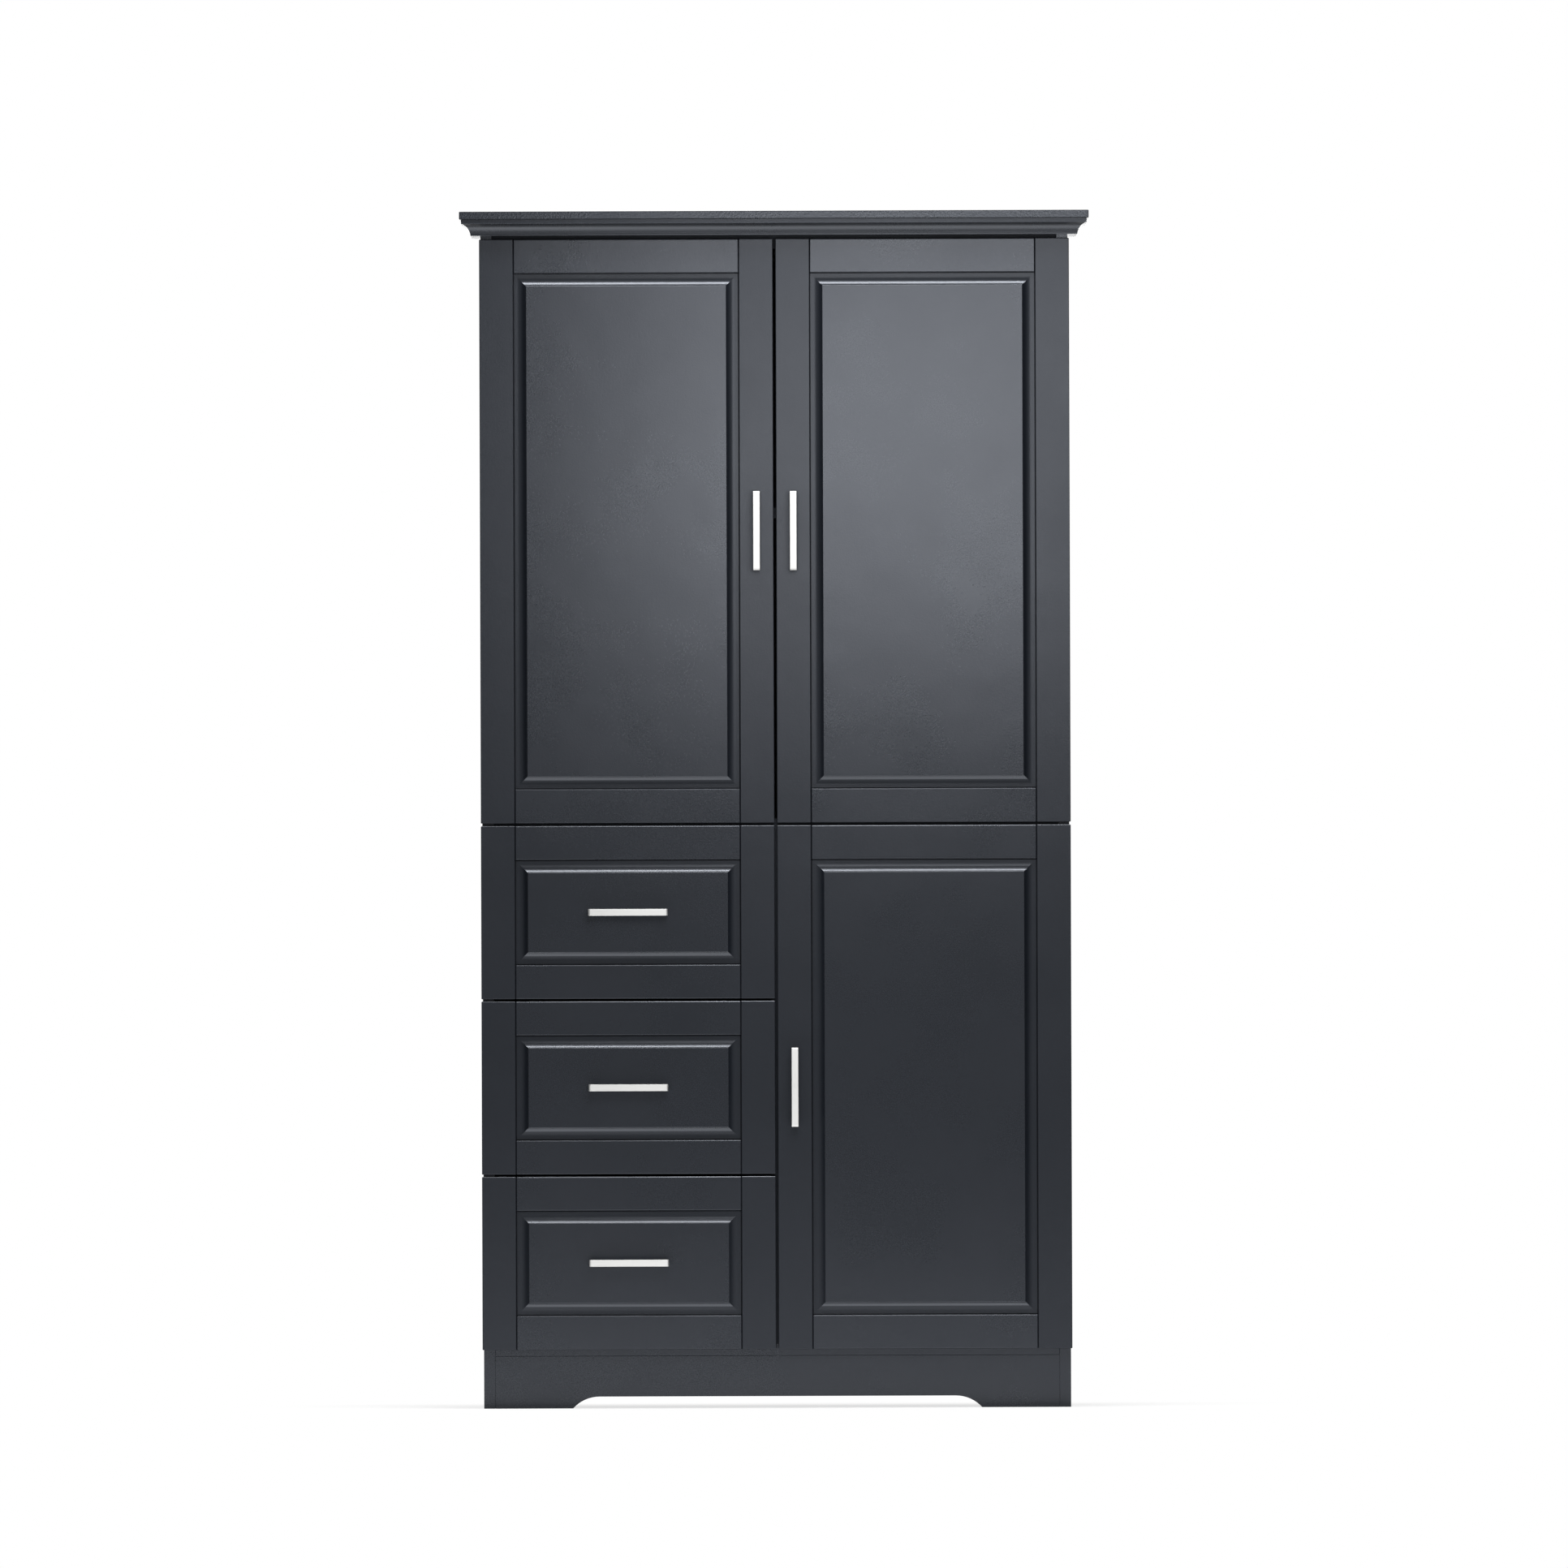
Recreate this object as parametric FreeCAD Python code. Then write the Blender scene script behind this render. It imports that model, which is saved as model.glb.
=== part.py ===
import FreeCAD, Part
import math
import os

# Tall storage cabinet with a crown, two upper doors, three drawers and one lower door.
# Millimetres. X runs across the front, Y runs back, Z is up. The origin is on the floor,
# under the middle of the overall box.

# Overall sizes
WIDTH = 831.0
DEPTH = 498.0
HEIGHT = 1580.0

# Boards
BOARD = 15.0
TOP_BOARD = 10.2
BACK_BOARD = 3.0
BACK_INSET = 9.0
BACK_GROOVE_DEPTH = 6.0
BACK_CLEARANCE = 0.2
SHELF_CLEARANCE = 1.0
SHELF_SETBACK = 25.0
TOP_RAIL_HEIGHT = 40.0

# Crown moulding, measured outwards from the face that it goes round
CROWN_OVERHANG = 28.0
MOULDING_HEIGHT = 21.5
MOULDING_STEP = 2.7
MOULDING_FILLET = 5.9
MOULDING_QUIRK = 1.0
MOULDING_FOOT = 13.0
MOULDING_FOOT_HEIGHT = 0.8
MOULDING_COVE_SAGITTA = 2.6
CROWN_GAP = 5.0

# Plinth
KICK_HEIGHT = 69.3
KICK_FOOT = 102.5
KICK_ARCH_RISE = 15.5
KICK_ARCH_RADIUS = 47.0

# Door and drawer fronts
FRONT_THICKNESS = 18.0
FRONT_OVERLAP = 1.8
DOOR_GAP = 3.0
SEAM = 3.5
DRAWER_SEAM = 3.0
BOTTOM_OVERLAY = 6.7
LOWER_FRONTS_HEIGHT = 691.5
DRAWER_COUNT = 3
STILE = 45.0
RAIL = 45.0
FRONT_EASE = 0.8
BACK_EASE = 1.5
PANEL_THICKNESS = 12.0
PANEL_FIELD_RECESS = 0.6
PANEL_FLAT = 5.5
PANEL_COVE_WIDTH = 11.3
PANEL_COVE_RISE = 5.0
GROOVE_DEPTH = 6.0
GROOVE_CLEARANCE = 0.1
TENON_CLEARANCE = 0.5

# Bar pulls
PULL_LENGTH = 105.0
PULL_SECTION = 9.0
PULL_REACH = 28.0
PULL_BEND = 3.0

# Cup hinges, placed from the door's outer edge and the carcass's front
HINGE_FROM_DOOR_END = 90.0
CUP_RADIUS = 17.4
CUP_CLEARANCE = 0.1
CUP_DEPTH = 11.5
CUP_WALL = 0.8
CUP_EDGE_DISTANCE = 2.5
FLANGE_THICKNESS = 1.0
FLANGE_LENGTH = 62.0
FLANGE_WIDTH = 22.0
PIN_RADIUS = 1.25
PIN_FROM_EDGE = 6.8
PIN_BELOW_BACK = 7.5
PIN_CLEARANCE = 0.05
EYE_RADIUS = 2.4
ARM_STRIP = 2.0
ARM_NOSE_WIDTH = 8.0
ARM_LENGTH = 58.0
ARM_BODY_START = 12.0
ARM_BODY_WIDTH = 14.0
ARM_BODY_HEIGHT = 8.0
ARM_BODY_WALL = 1.2
ARM_BEND = 3.0
PLATE_THICKNESS = 2.5
PLATE_WIDTH = 16.0
PLATE_WING_SPAN = 52.0
PLATE_WING_WIDTH = 16.0

# Drawer boxes and roller runners
BOX_SIDE = 12.0
BOX_HEIGHT = 150.0
BOX_LENGTH = 410.0
BOX_LIFT = 22.0
BOX_BOTTOM = 4.0
BOX_BOTTOM_UP = 10.0
BOX_GROOVE = 5.0
BOX_CLEARANCE = 0.2
RUNNER_SPACE = 12.5
RUNNER_SHEET = 1.2
RUNNER_SHORTFALL = 10.0
RUNNER_SETBACK = 2.0
RUNNER_FLANGE = 10.0
RUNNER_HEADROOM = 2.0
ROLLER_RADIUS = 9.0
ROLLER_WIDTH = 6.0
ROLLER_GAP = 0.2
REAR_ROLLER_DROP = 0.8
AXLE_RADIUS = 2.0
AXLE_CLEARANCE = 0.05
AXLE_END = 0.8
FRONT_ROLLER_FROM_END = 14.0
REAR_ROLLER_FROM_END = 11.0

# Shelf pins
SHELF_HOLE_PITCH = 32.0
SHELF_HOLE_COUNT = 3
SHELF_HOLE_DEPTH = 9.0
SHELF_ROW_FROM_FRONT = 60.0
SHELF_ROW_FROM_BACK = 60.0
SHELF_PIN_RADIUS = 2.5
SHELF_PIN_CLEARANCE = 0.1
SHELF_PIN_LENGTH = 8.0
SHELF_PAD_WIDTH = 9.0
SHELF_PAD_THICKNESS = 2.0

# Axles and shelf pins repeat, so each of them and its hole has a few flat sides
PEG_SIDES = 8

# One overrun serves all cuts, and TOUCH finds edges that lie on a plane
OVERRUN = 1.0
TOUCH = 1e-6

# Planes worked out from the sizes above
BODY_WIDTH = WIDTH - 2 * CROWN_OVERHANG
HALF_BODY = BODY_WIDTH / 2
HALF_FRONT = HALF_BODY + FRONT_OVERLAP
INNER_HALF = HALF_BODY - BOARD
CARCASS_DEPTH = DEPTH - CROWN_OVERHANG - FRONT_THICKNESS - DOOR_GAP
FRONT_REACH = max(PULL_REACH, CROWN_OVERHANG)
TOTAL_DEPTH = FRONT_REACH + FRONT_THICKNESS + DOOR_GAP + CARCASS_DEPTH
Y_BACK = TOTAL_DEPTH / 2
Y_CARCASS = Y_BACK - CARCASS_DEPTH
Y_DOOR_BACK = Y_CARCASS - DOOR_GAP
Y_FACE = Y_DOOR_BACK - FRONT_THICKNESS
Y_CROWN = Y_FACE - CROWN_OVERHANG
Y_BACK_BOARD = Y_BACK - BACK_INSET - BACK_BOARD
Z_CEILING = HEIGHT - TOP_BOARD
Z_CROWN_FOOT = Z_CEILING - MOULDING_HEIGHT
Z_FLOOR_BOARD = KICK_HEIGHT + BOARD
Z_LOW_FRONTS = Z_FLOOR_BOARD - BOTTOM_OVERLAY
Z_LOW_FRONTS_TOP = Z_LOW_FRONTS + LOWER_FRONTS_HEIGHT
Z_SEAM = Z_LOW_FRONTS_TOP + SEAM / 2
Z_MIDDLE_UNDER = Z_SEAM - BOARD / 2
Z_MIDDLE_TOP = Z_SEAM + BOARD / 2
Z_UPPER_DOORS = Z_LOW_FRONTS_TOP + SEAM
Z_UPPER_DOORS_TOP = Z_CROWN_FOOT - CROWN_GAP
DRAWER_FRONT_HEIGHT = (LOWER_FRONTS_HEIGHT - (DRAWER_COUNT - 1) * DRAWER_SEAM) / DRAWER_COUNT
RUNNER_LENGTH = BOX_LENGTH - RUNNER_SHORTFALL
X_MEETING = SEAM / 2
HALF_DIVIDER = BOARD / 2

UP = FreeCAD.Vector(0, 0, 1)
RIGHT = FreeCAD.Vector(1, 0, 0)
BACK = FreeCAD.Vector(0, 1, 0)
MIDDLE = FreeCAD.Vector(0, 0, 0)


# Plain shapes

def point(x, y, z):
    return FreeCAD.Vector(x, y, z)


def block(x_low, x_high, y_low, y_high, z_low, z_high):
    return Part.makeBox(x_high - x_low, y_high - y_low, z_high - z_low, point(x_low, y_low, z_low))


def rod(radius, start, direction, length):
    return Part.makeCylinder(radius, length, start, direction)


def extruded(edges, along):
    return Part.Face(Part.Wire(edges)).extrude(along)


def prism(corners, along):
    return Part.Face(Part.makePolygon(corners + corners[:1])).extrude(along)


def peg(radius, start, reach):
    """A many-sided rod along X, with flats above and below."""
    turns = [2 * math.pi * (side + 1 / 2) / PEG_SIDES for side in range(PEG_SIDES)]
    corners = [start + (BACK * math.cos(turn) + UP * math.sin(turn)) * radius for turn in turns]
    return prism(corners, RIGHT * reach)


def line(start, end):
    return Part.LineSegment(start, end).toShape()


def arc(start, middle, end):
    return Part.Arc(start, middle, end).toShape()


def mirrored(shape):
    return shape.mirror(MIDDLE, RIGHT)


def lies_on(edge, axis, place):
    """True where both ends of an edge lie in the plane axis = place."""
    return all(abs(getattr(v.Point, axis) - place) < TOUCH for v in edge.Vertexes)


def rounded(solid, radius, chosen):
    """Rounds the edges that the test picks out."""
    return solid.makeFillet(radius, [e for e in solid.Edges if chosen(e)])


def eased(solid, width, chosen):
    """Takes a narrow flat off the edges that the test picks out."""
    return solid.makeChamfer(width, [e for e in solid.Edges if chosen(e)])


# Carcass boards

def side_panel():
    """The left side panel with the groove that the back boards slide into."""
    panel = block(-HALF_BODY, -INNER_HALF, Y_CARCASS, Y_BACK, 0, Z_CEILING)
    groove = block(
        -INNER_HALF - BACK_GROOVE_DEPTH, -INNER_HALF + OVERRUN,
        Y_BACK_BOARD - BACK_CLEARANCE, Y_BACK_BOARD + BACK_BOARD + BACK_CLEARANCE,
        -OVERRUN, Z_CEILING + OVERRUN,
    )
    return panel.cut(groove)


def inner_board(z_low, z_high):
    return block(-INNER_HALF, INNER_HALF, Y_CARCASS, Y_BACK_BOARD, z_low, z_high)


def back_board(z_low, z_high):
    half = INNER_HALF + BACK_GROOVE_DEPTH - BACK_CLEARANCE
    return block(-half, half, Y_BACK_BOARD, Y_BACK_BOARD + BACK_BOARD, z_low, z_high)


def top_board():
    board = block(-WIDTH / 2, WIDTH / 2, Y_CROWN, Y_BACK, Z_CEILING, HEIGHT)
    return eased(board, FRONT_EASE, lambda e: not lies_on(e, "y", Y_BACK))


def kick_board():
    """The plinth board with its long low arch, cut from one outline."""
    turn = math.acos(1 - KICK_ARCH_RISE / KICK_ARCH_RADIUS)
    foot_end = INNER_HALF - KICK_FOOT
    arch_end = foot_end - KICK_ARCH_RADIUS * math.sin(turn)
    half_x = arch_end + KICK_ARCH_RADIUS * math.sin(turn / 2)
    half_z = KICK_ARCH_RISE - KICK_ARCH_RADIUS * (1 - math.cos(turn / 2))

    def at(x, z):
        return point(x, Y_CARCASS, z)

    outline = [
        line(at(-INNER_HALF, 0), at(-foot_end, 0)),
        arc(at(-foot_end, 0), at(-half_x, half_z), at(-arch_end, KICK_ARCH_RISE)),
        line(at(-arch_end, KICK_ARCH_RISE), at(arch_end, KICK_ARCH_RISE)),
        arc(at(arch_end, KICK_ARCH_RISE), at(half_x, half_z), at(foot_end, 0)),
        line(at(foot_end, 0), at(INNER_HALF, 0)),
        line(at(INNER_HALF, 0), at(INNER_HALF, KICK_HEIGHT)),
        line(at(INNER_HALF, KICK_HEIGHT), at(-INNER_HALF, KICK_HEIGHT)),
        line(at(-INNER_HALF, KICK_HEIGHT), at(-INNER_HALF, 0)),
    ]
    return extruded(outline, BACK * BOARD)


# Crown

def moulding_outline(place, inner):
    """The crown's section. place(u, z) gives a point u outwards from the faced plane."""
    outer = CROWN_OVERHANG - MOULDING_STEP
    z_cove_top = Z_CEILING - MOULDING_FILLET
    z_cove_foot = Z_CROWN_FOOT + MOULDING_FOOT_HEIGHT
    cove = outer - MOULDING_QUIRK
    run = cove - MOULDING_FOOT
    rise = z_cove_top - z_cove_foot
    chord = math.hypot(run, rise)
    cove_u = (cove + MOULDING_FOOT) / 2 - MOULDING_COVE_SAGITTA * rise / chord
    cove_z = (z_cove_top + z_cove_foot) / 2 + MOULDING_COVE_SAGITTA * run / chord
    return [
        line(place(inner, Z_CEILING), place(outer, Z_CEILING)),
        line(place(outer, Z_CEILING), place(outer, z_cove_top)),
        line(place(outer, z_cove_top), place(cove, z_cove_top)),
        arc(place(cove, z_cove_top), place(cove_u, cove_z), place(MOULDING_FOOT, z_cove_foot)),
        line(place(MOULDING_FOOT, z_cove_foot), place(MOULDING_FOOT, Z_CROWN_FOOT)),
        line(place(MOULDING_FOOT, Z_CROWN_FOOT), place(inner, Z_CROWN_FOOT)),
        line(place(inner, Z_CROWN_FOOT), place(inner, Z_CEILING)),
    ]


def crown_front():
    """The front moulding, mitred at both ends and backed up to the carcass."""
    outer = CROWN_OVERHANG - MOULDING_STEP
    reach = HALF_BODY + outer
    section = moulding_outline(lambda u, z: point(-reach, Y_FACE - u, z), Y_FACE - Y_CARCASS)
    plan = prism(
        [
            point(-HALF_BODY, Y_CARCASS, Z_CROWN_FOOT),
            point(-HALF_BODY, Y_FACE, Z_CROWN_FOOT),
            point(-reach, Y_FACE - outer, Z_CROWN_FOOT),
            point(reach, Y_FACE - outer, Z_CROWN_FOOT),
            point(HALF_BODY, Y_FACE, Z_CROWN_FOOT),
            point(HALF_BODY, Y_CARCASS, Z_CROWN_FOOT),
        ],
        UP * MOULDING_HEIGHT,
    )
    return extruded(section, RIGHT * 2 * reach).common(plan)


def crown_left():
    """The left moulding, mitred to the front one."""
    outer = CROWN_OVERHANG - MOULDING_STEP
    section = moulding_outline(lambda u, z: point(-HALF_BODY - u, Y_FACE - outer, z), 0)
    plan = prism(
        [
            point(-HALF_BODY, Y_BACK, Z_CROWN_FOOT),
            point(-HALF_BODY, Y_FACE, Z_CROWN_FOOT),
            point(-HALF_BODY - outer, Y_FACE - outer, Z_CROWN_FOOT),
            point(-HALF_BODY - outer, Y_BACK, Z_CROWN_FOOT),
        ],
        UP * MOULDING_HEIGHT,
    )
    return extruded(section, BACK * (Y_BACK - Y_FACE + outer)).common(plan)


# Framed fronts with raised panels

PANEL_FACE = Y_FACE + PANEL_FIELD_RECESS
PANEL_LEDGE = PANEL_FACE + PANEL_COVE_RISE
PANEL_BACK = PANEL_FACE + PANEL_THICKNESS
TONGUE = GROOVE_DEPTH - TENON_CLEARANCE


def groove_block(x_low, x_high, z_low, z_high):
    """The slot for the panel's edge and the rails' tenons."""
    return block(
        x_low, x_high, PANEL_LEDGE - GROOVE_CLEARANCE, PANEL_BACK + GROOVE_CLEARANCE, z_low, z_high
    )


def front_stiles(x_low, x_high, z_low, z_high):
    """Left and right uprights, grooved along their inner edges."""
    stiles = []
    for x_outer, x_inner in ((x_low, x_low + STILE), (x_high, x_high - STILE)):
        upright = block(*sorted((x_outer, x_inner)), Y_FACE, Y_DOOR_BACK, z_low, z_high)
        upright = eased(upright, FRONT_EASE, lambda e: lies_on(e, "y", Y_FACE))
        upright = eased(
            upright, BACK_EASE, lambda e: lies_on(e, "y", Y_DOOR_BACK) and lies_on(e, "x", x_outer)
        )
        groove = groove_block(
            x_inner - GROOVE_DEPTH, x_inner + GROOVE_DEPTH, z_low - OVERRUN, z_high + OVERRUN
        )
        stiles.append(upright.cut(groove))
    return stiles


def front_rails(x_low, x_high, z_low, z_high):
    """Bottom and top rails, with tenons for the stiles and a groove for the panel."""
    rails = []
    left = x_low + STILE
    right = x_high - STILE
    for z_start, z_groove in ((z_low, z_low + RAIL), (z_high - RAIL, z_high - RAIL)):
        rail = block(left, right, Y_FACE, Y_DOOR_BACK, z_start, z_start + RAIL)
        rail = eased(rail, FRONT_EASE, lambda e: lies_on(e, "y", Y_FACE))
        tenon = block(left - TONGUE, right + TONGUE, PANEL_LEDGE, PANEL_BACK, z_start, z_start + RAIL)
        groove = groove_block(
            left - GROOVE_DEPTH, right + GROOVE_DEPTH, z_groove - GROOVE_DEPTH, z_groove + GROOVE_DEPTH
        )
        rails.append(rail.fuse(tenon).removeSplitter().cut(groove))
    return rails


def panel_outline(place, low, high):
    """One section of the raised panel. place(s, y) gives a point s along the section."""
    turn = 2 * math.atan2(PANEL_COVE_RISE, PANEL_COVE_WIDTH)
    radius = PANEL_COVE_WIDTH / math.sin(turn)
    half_run = radius * math.sin(turn / 2)
    half_rise = radius * (1 - math.cos(turn / 2))
    cove = TONGUE + PANEL_FLAT
    field = cove + PANEL_COVE_WIDTH
    y_half = PANEL_LEDGE - half_rise
    low_ledge = place(low + cove, PANEL_LEDGE)
    low_field = place(low + field, PANEL_FACE)
    high_field = place(high - field, PANEL_FACE)
    high_ledge = place(high - cove, PANEL_LEDGE)
    return [
        line(place(low, PANEL_BACK), place(low, PANEL_LEDGE)),
        line(place(low, PANEL_LEDGE), low_ledge),
        arc(low_ledge, place(low + cove + half_run, y_half), low_field),
        line(low_field, high_field),
        arc(high_field, place(high - cove - half_run, y_half), high_ledge),
        line(high_ledge, place(high, PANEL_LEDGE)),
        line(place(high, PANEL_LEDGE), place(high, PANEL_BACK)),
        line(place(high, PANEL_BACK), place(low, PANEL_BACK)),
    ]


def front_panel(x_low, x_high, z_low, z_high):
    """The raised panel: its two crossing sections give mitred coves."""
    left = x_low + STILE - TONGUE
    right = x_high - STILE + TONGUE
    foot = z_low + RAIL - TONGUE
    head = z_high - RAIL + TONGUE
    upright = extruded(panel_outline(lambda s, y: point(left, y, s), foot, head), RIGHT * (right - left))
    across = extruded(panel_outline(lambda s, y: point(s, y, foot), left, right), UP * (head - foot))
    return upright.common(across)


# Bar pulls

def pull(x_middle, z_middle, upright):
    """A square bar bent to a flat U, standing on the front's face."""
    half = PULL_LENGTH / 2
    grip = PULL_SECTION / 2
    bar = block(-half, half, Y_FACE - PULL_REACH, Y_FACE, -grip, grip)
    y_grip = Y_FACE - PULL_REACH
    for x_end in (-half, half):
        bar = rounded(bar, PULL_BEND, lambda e: lies_on(e, "y", y_grip) and lies_on(e, "x", x_end))
    finger_gap = block(
        -half + PULL_SECTION, half - PULL_SECTION, y_grip + PULL_SECTION, Y_FACE + OVERRUN,
        -grip - OVERRUN, grip + OVERRUN,
    )
    bar = bar.cut(finger_gap)
    if upright:
        bar.rotate(MIDDLE, BACK, 90)
    bar.translate(point(x_middle, 0, z_middle))
    return bar


# Cup hinges, drawn for a left door: X from the door's outer edge, Y from the carcass's front, height zero

CUP_X = CUP_EDGE_DISTANCE + CUP_RADIUS + CUP_CLEARANCE
CUP_MOUTH = -DOOR_GAP
PIN_Y = -DOOR_GAP - PIN_BELOW_BACK
PLATE_X = FRONT_OVERLAP + BOARD
ARM_X = PLATE_X + PLATE_THICKNESS


def cup_bore(slack):
    return rod(CUP_RADIUS + slack, point(CUP_X, CUP_MOUTH, 0), -BACK, CUP_DEPTH + slack)


def hinge_pin():
    """The pin across the cup, with its ends in the middle of the cup's wall."""
    pin = rod(PIN_RADIUS, point(PIN_FROM_EDGE, PIN_Y, -CUP_RADIUS), UP, 2 * CUP_RADIUS)
    return pin.common(cup_bore(-CUP_WALL / 2))


def hinge_cup():
    """A pressed cup with its pin, and with a flange that is screwed to the door's back."""
    flange = block(
        CUP_X - FLANGE_WIDTH / 2, CUP_X + FLANGE_WIDTH / 2, CUP_MOUTH, CUP_MOUTH + FLANGE_THICKNESS,
        -FLANGE_LENGTH / 2, FLANGE_LENGTH / 2,
    )
    hollow = rod(
        CUP_RADIUS - CUP_WALL, point(CUP_X, CUP_MOUTH + FLANGE_THICKNESS + OVERRUN, 0), -BACK,
        CUP_DEPTH + FLANGE_THICKNESS + OVERRUN - CUP_WALL,
    )
    cup = cup_bore(0).fuse(flange).cut(hollow)
    return cup.fuse(hinge_pin()).removeSplitter()


def hinge_arm():
    """The bent arm: an eye on the pin, a nose that lies in the cup and a channel on the plate."""
    half_nose = ARM_NOSE_WIDTH / 2
    half_strip = ARM_STRIP / 2
    outer = ARM_X + ARM_STRIP
    strip = prism(
        [
            point(PIN_FROM_EDGE, PIN_Y - half_strip, -half_nose),
            point(outer, PIN_Y - half_strip, -half_nose),
            point(outer, ARM_LENGTH, -half_nose),
            point(ARM_X, ARM_LENGTH, -half_nose),
            point(ARM_X, PIN_Y + half_strip, -half_nose),
            point(PIN_FROM_EDGE, PIN_Y + half_strip, -half_nose),
        ],
        UP * ARM_NOSE_WIDTH,
    )
    strip = rounded(
        strip, ARM_BEND, lambda e: lies_on(e, "x", outer) and lies_on(e, "y", PIN_Y - half_strip)
    )
    half_body = ARM_BODY_WIDTH / 2
    cover = block(ARM_X, ARM_X + ARM_BODY_HEIGHT, ARM_BODY_START, ARM_LENGTH, -half_body, half_body)
    inside = block(
        ARM_X - OVERRUN, ARM_X + ARM_BODY_HEIGHT - ARM_BODY_WALL, ARM_BODY_START - OVERRUN,
        ARM_LENGTH + OVERRUN, -half_body + ARM_BODY_WALL, half_body - ARM_BODY_WALL,
    )
    web = block(ARM_X, outer, ARM_BODY_START, ARM_LENGTH, -half_body, half_body)
    eye = rod(EYE_RADIUS, point(PIN_FROM_EDGE, PIN_Y, -half_nose), UP, ARM_NOSE_WIDTH)
    bore = rod(
        PIN_RADIUS + PIN_CLEARANCE, point(PIN_FROM_EDGE, PIN_Y, -half_nose - OVERRUN), UP,
        ARM_NOSE_WIDTH + 2 * OVERRUN,
    )
    return strip.fuse([cover.cut(inside), web, eye]).removeSplitter().cut(bore)


def hinge_plate():
    """The cross-shaped mounting plate on the side panel's inner face."""
    half = PLATE_WIDTH / 2
    body = block(PLATE_X, ARM_X, ARM_BODY_START, ARM_LENGTH, -half, half)
    wing_middle = (ARM_BODY_START + ARM_LENGTH) / 2
    wings = block(
        PLATE_X, ARM_X, wing_middle - PLATE_WING_WIDTH / 2, wing_middle + PLATE_WING_WIDTH / 2,
        -PLATE_WING_SPAN / 2, PLATE_WING_SPAN / 2,
    )
    return body.fuse(wings).removeSplitter()


def at_hinge(shape, z, on_left):
    """Moves a hinge piece from the drawing to its place on a side panel."""
    placed = shape.copy()
    placed.translate(point(-HALF_FRONT, Y_CARCASS, z))
    return placed if on_left else mirrored(placed)


# Drawer boxes and their roller runners

X_BOX_LEFT = -INNER_HALF + RUNNER_SPACE
X_BOX_RIGHT = -HALF_DIVIDER - RUNNER_SPACE
Y_BOX_END = Y_DOOR_BACK + BOX_LENGTH
Y_RUNNER = Y_CARCASS + RUNNER_SETBACK
Y_FRONT_ROLLER = Y_RUNNER + FRONT_ROLLER_FROM_END
Y_REAR_ROLLER = Y_DOOR_BACK + RUNNER_LENGTH - REAR_ROLLER_FROM_END
# Heights above the box's lower edge
FLANGE_UNDER = 2 * ROLLER_RADIUS
FRONT_ROLLER_UP = FLANGE_UNDER - ROLLER_GAP - ROLLER_RADIUS
REAR_ROLLER_UP = FRONT_ROLLER_UP - REAR_ROLLER_DROP
TRACK_UP = REAR_ROLLER_UP - ROLLER_RADIUS - ROLLER_GAP
RAIL_HEAD_UP = FLANGE_UNDER + RUNNER_SHEET + RUNNER_HEADROOM
# Rollers stand between the channel's web and the drawer runner's web
ROLLER_OUT = (RUNNER_SPACE - ROLLER_WIDTH) / 2


def box_sides(z):
    """Left and right box sides, grooved for the bottom."""
    sides = []
    z_groove = z + BOX_BOTTOM_UP
    groove = block(
        X_BOX_LEFT + BOX_SIDE - BOX_GROOVE, X_BOX_RIGHT - BOX_SIDE + BOX_GROOVE,
        Y_DOOR_BACK - OVERRUN, Y_BOX_END + OVERRUN,
        z_groove - BOX_CLEARANCE, z_groove + BOX_BOTTOM + BOX_CLEARANCE,
    )
    for x in (X_BOX_LEFT, X_BOX_RIGHT - BOX_SIDE):
        sides.append(block(x, x + BOX_SIDE, Y_DOOR_BACK, Y_BOX_END, z, z + BOX_HEIGHT).cut(groove))
    return sides


def box_back(z):
    z_seat = z + BOX_BOTTOM_UP + BOX_BOTTOM
    return block(
        X_BOX_LEFT + BOX_SIDE, X_BOX_RIGHT - BOX_SIDE, Y_BOX_END - BOX_SIDE, Y_BOX_END, z_seat, z + BOX_HEIGHT
    )


def box_bottom(z):
    tongue = BOX_GROOVE - BOX_CLEARANCE
    z_low = z + BOX_BOTTOM_UP
    return block(
        X_BOX_LEFT + BOX_SIDE - tongue, X_BOX_RIGHT - BOX_SIDE + tongue,
        Y_DOOR_BACK, Y_BOX_END, z_low, z_low + BOX_BOTTOM,
    )


def cabinet_runner(x_face, side, z):
    """A channel screwed to the cabinet, open towards the drawer, with its roller's axle.

    x_face is the board's face, and side is 1 where the drawer lies towards +X of it."""
    def span(near, far):
        return sorted((x_face + side * near, x_face + side * far))

    y_end = Y_RUNNER + RUNNER_LENGTH
    foot = z + TRACK_UP - RUNNER_SHEET
    top = z + RAIL_HEAD_UP + RUNNER_SHEET
    web = block(*span(0, RUNNER_SHEET), Y_RUNNER, y_end, foot, top)
    track = block(*span(0, RUNNER_FLANGE), Y_RUNNER, y_end, foot, z + TRACK_UP)
    head = block(*span(0, RUNNER_FLANGE), Y_RUNNER, y_end, z + RAIL_HEAD_UP, top)
    axle_length = ROLLER_OUT + ROLLER_WIDTH + AXLE_END
    axle = peg(AXLE_RADIUS, point(x_face, Y_FRONT_ROLLER, z + FRONT_ROLLER_UP), side * axle_length)
    return web.fuse([track, head, axle]).removeSplitter()


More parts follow.
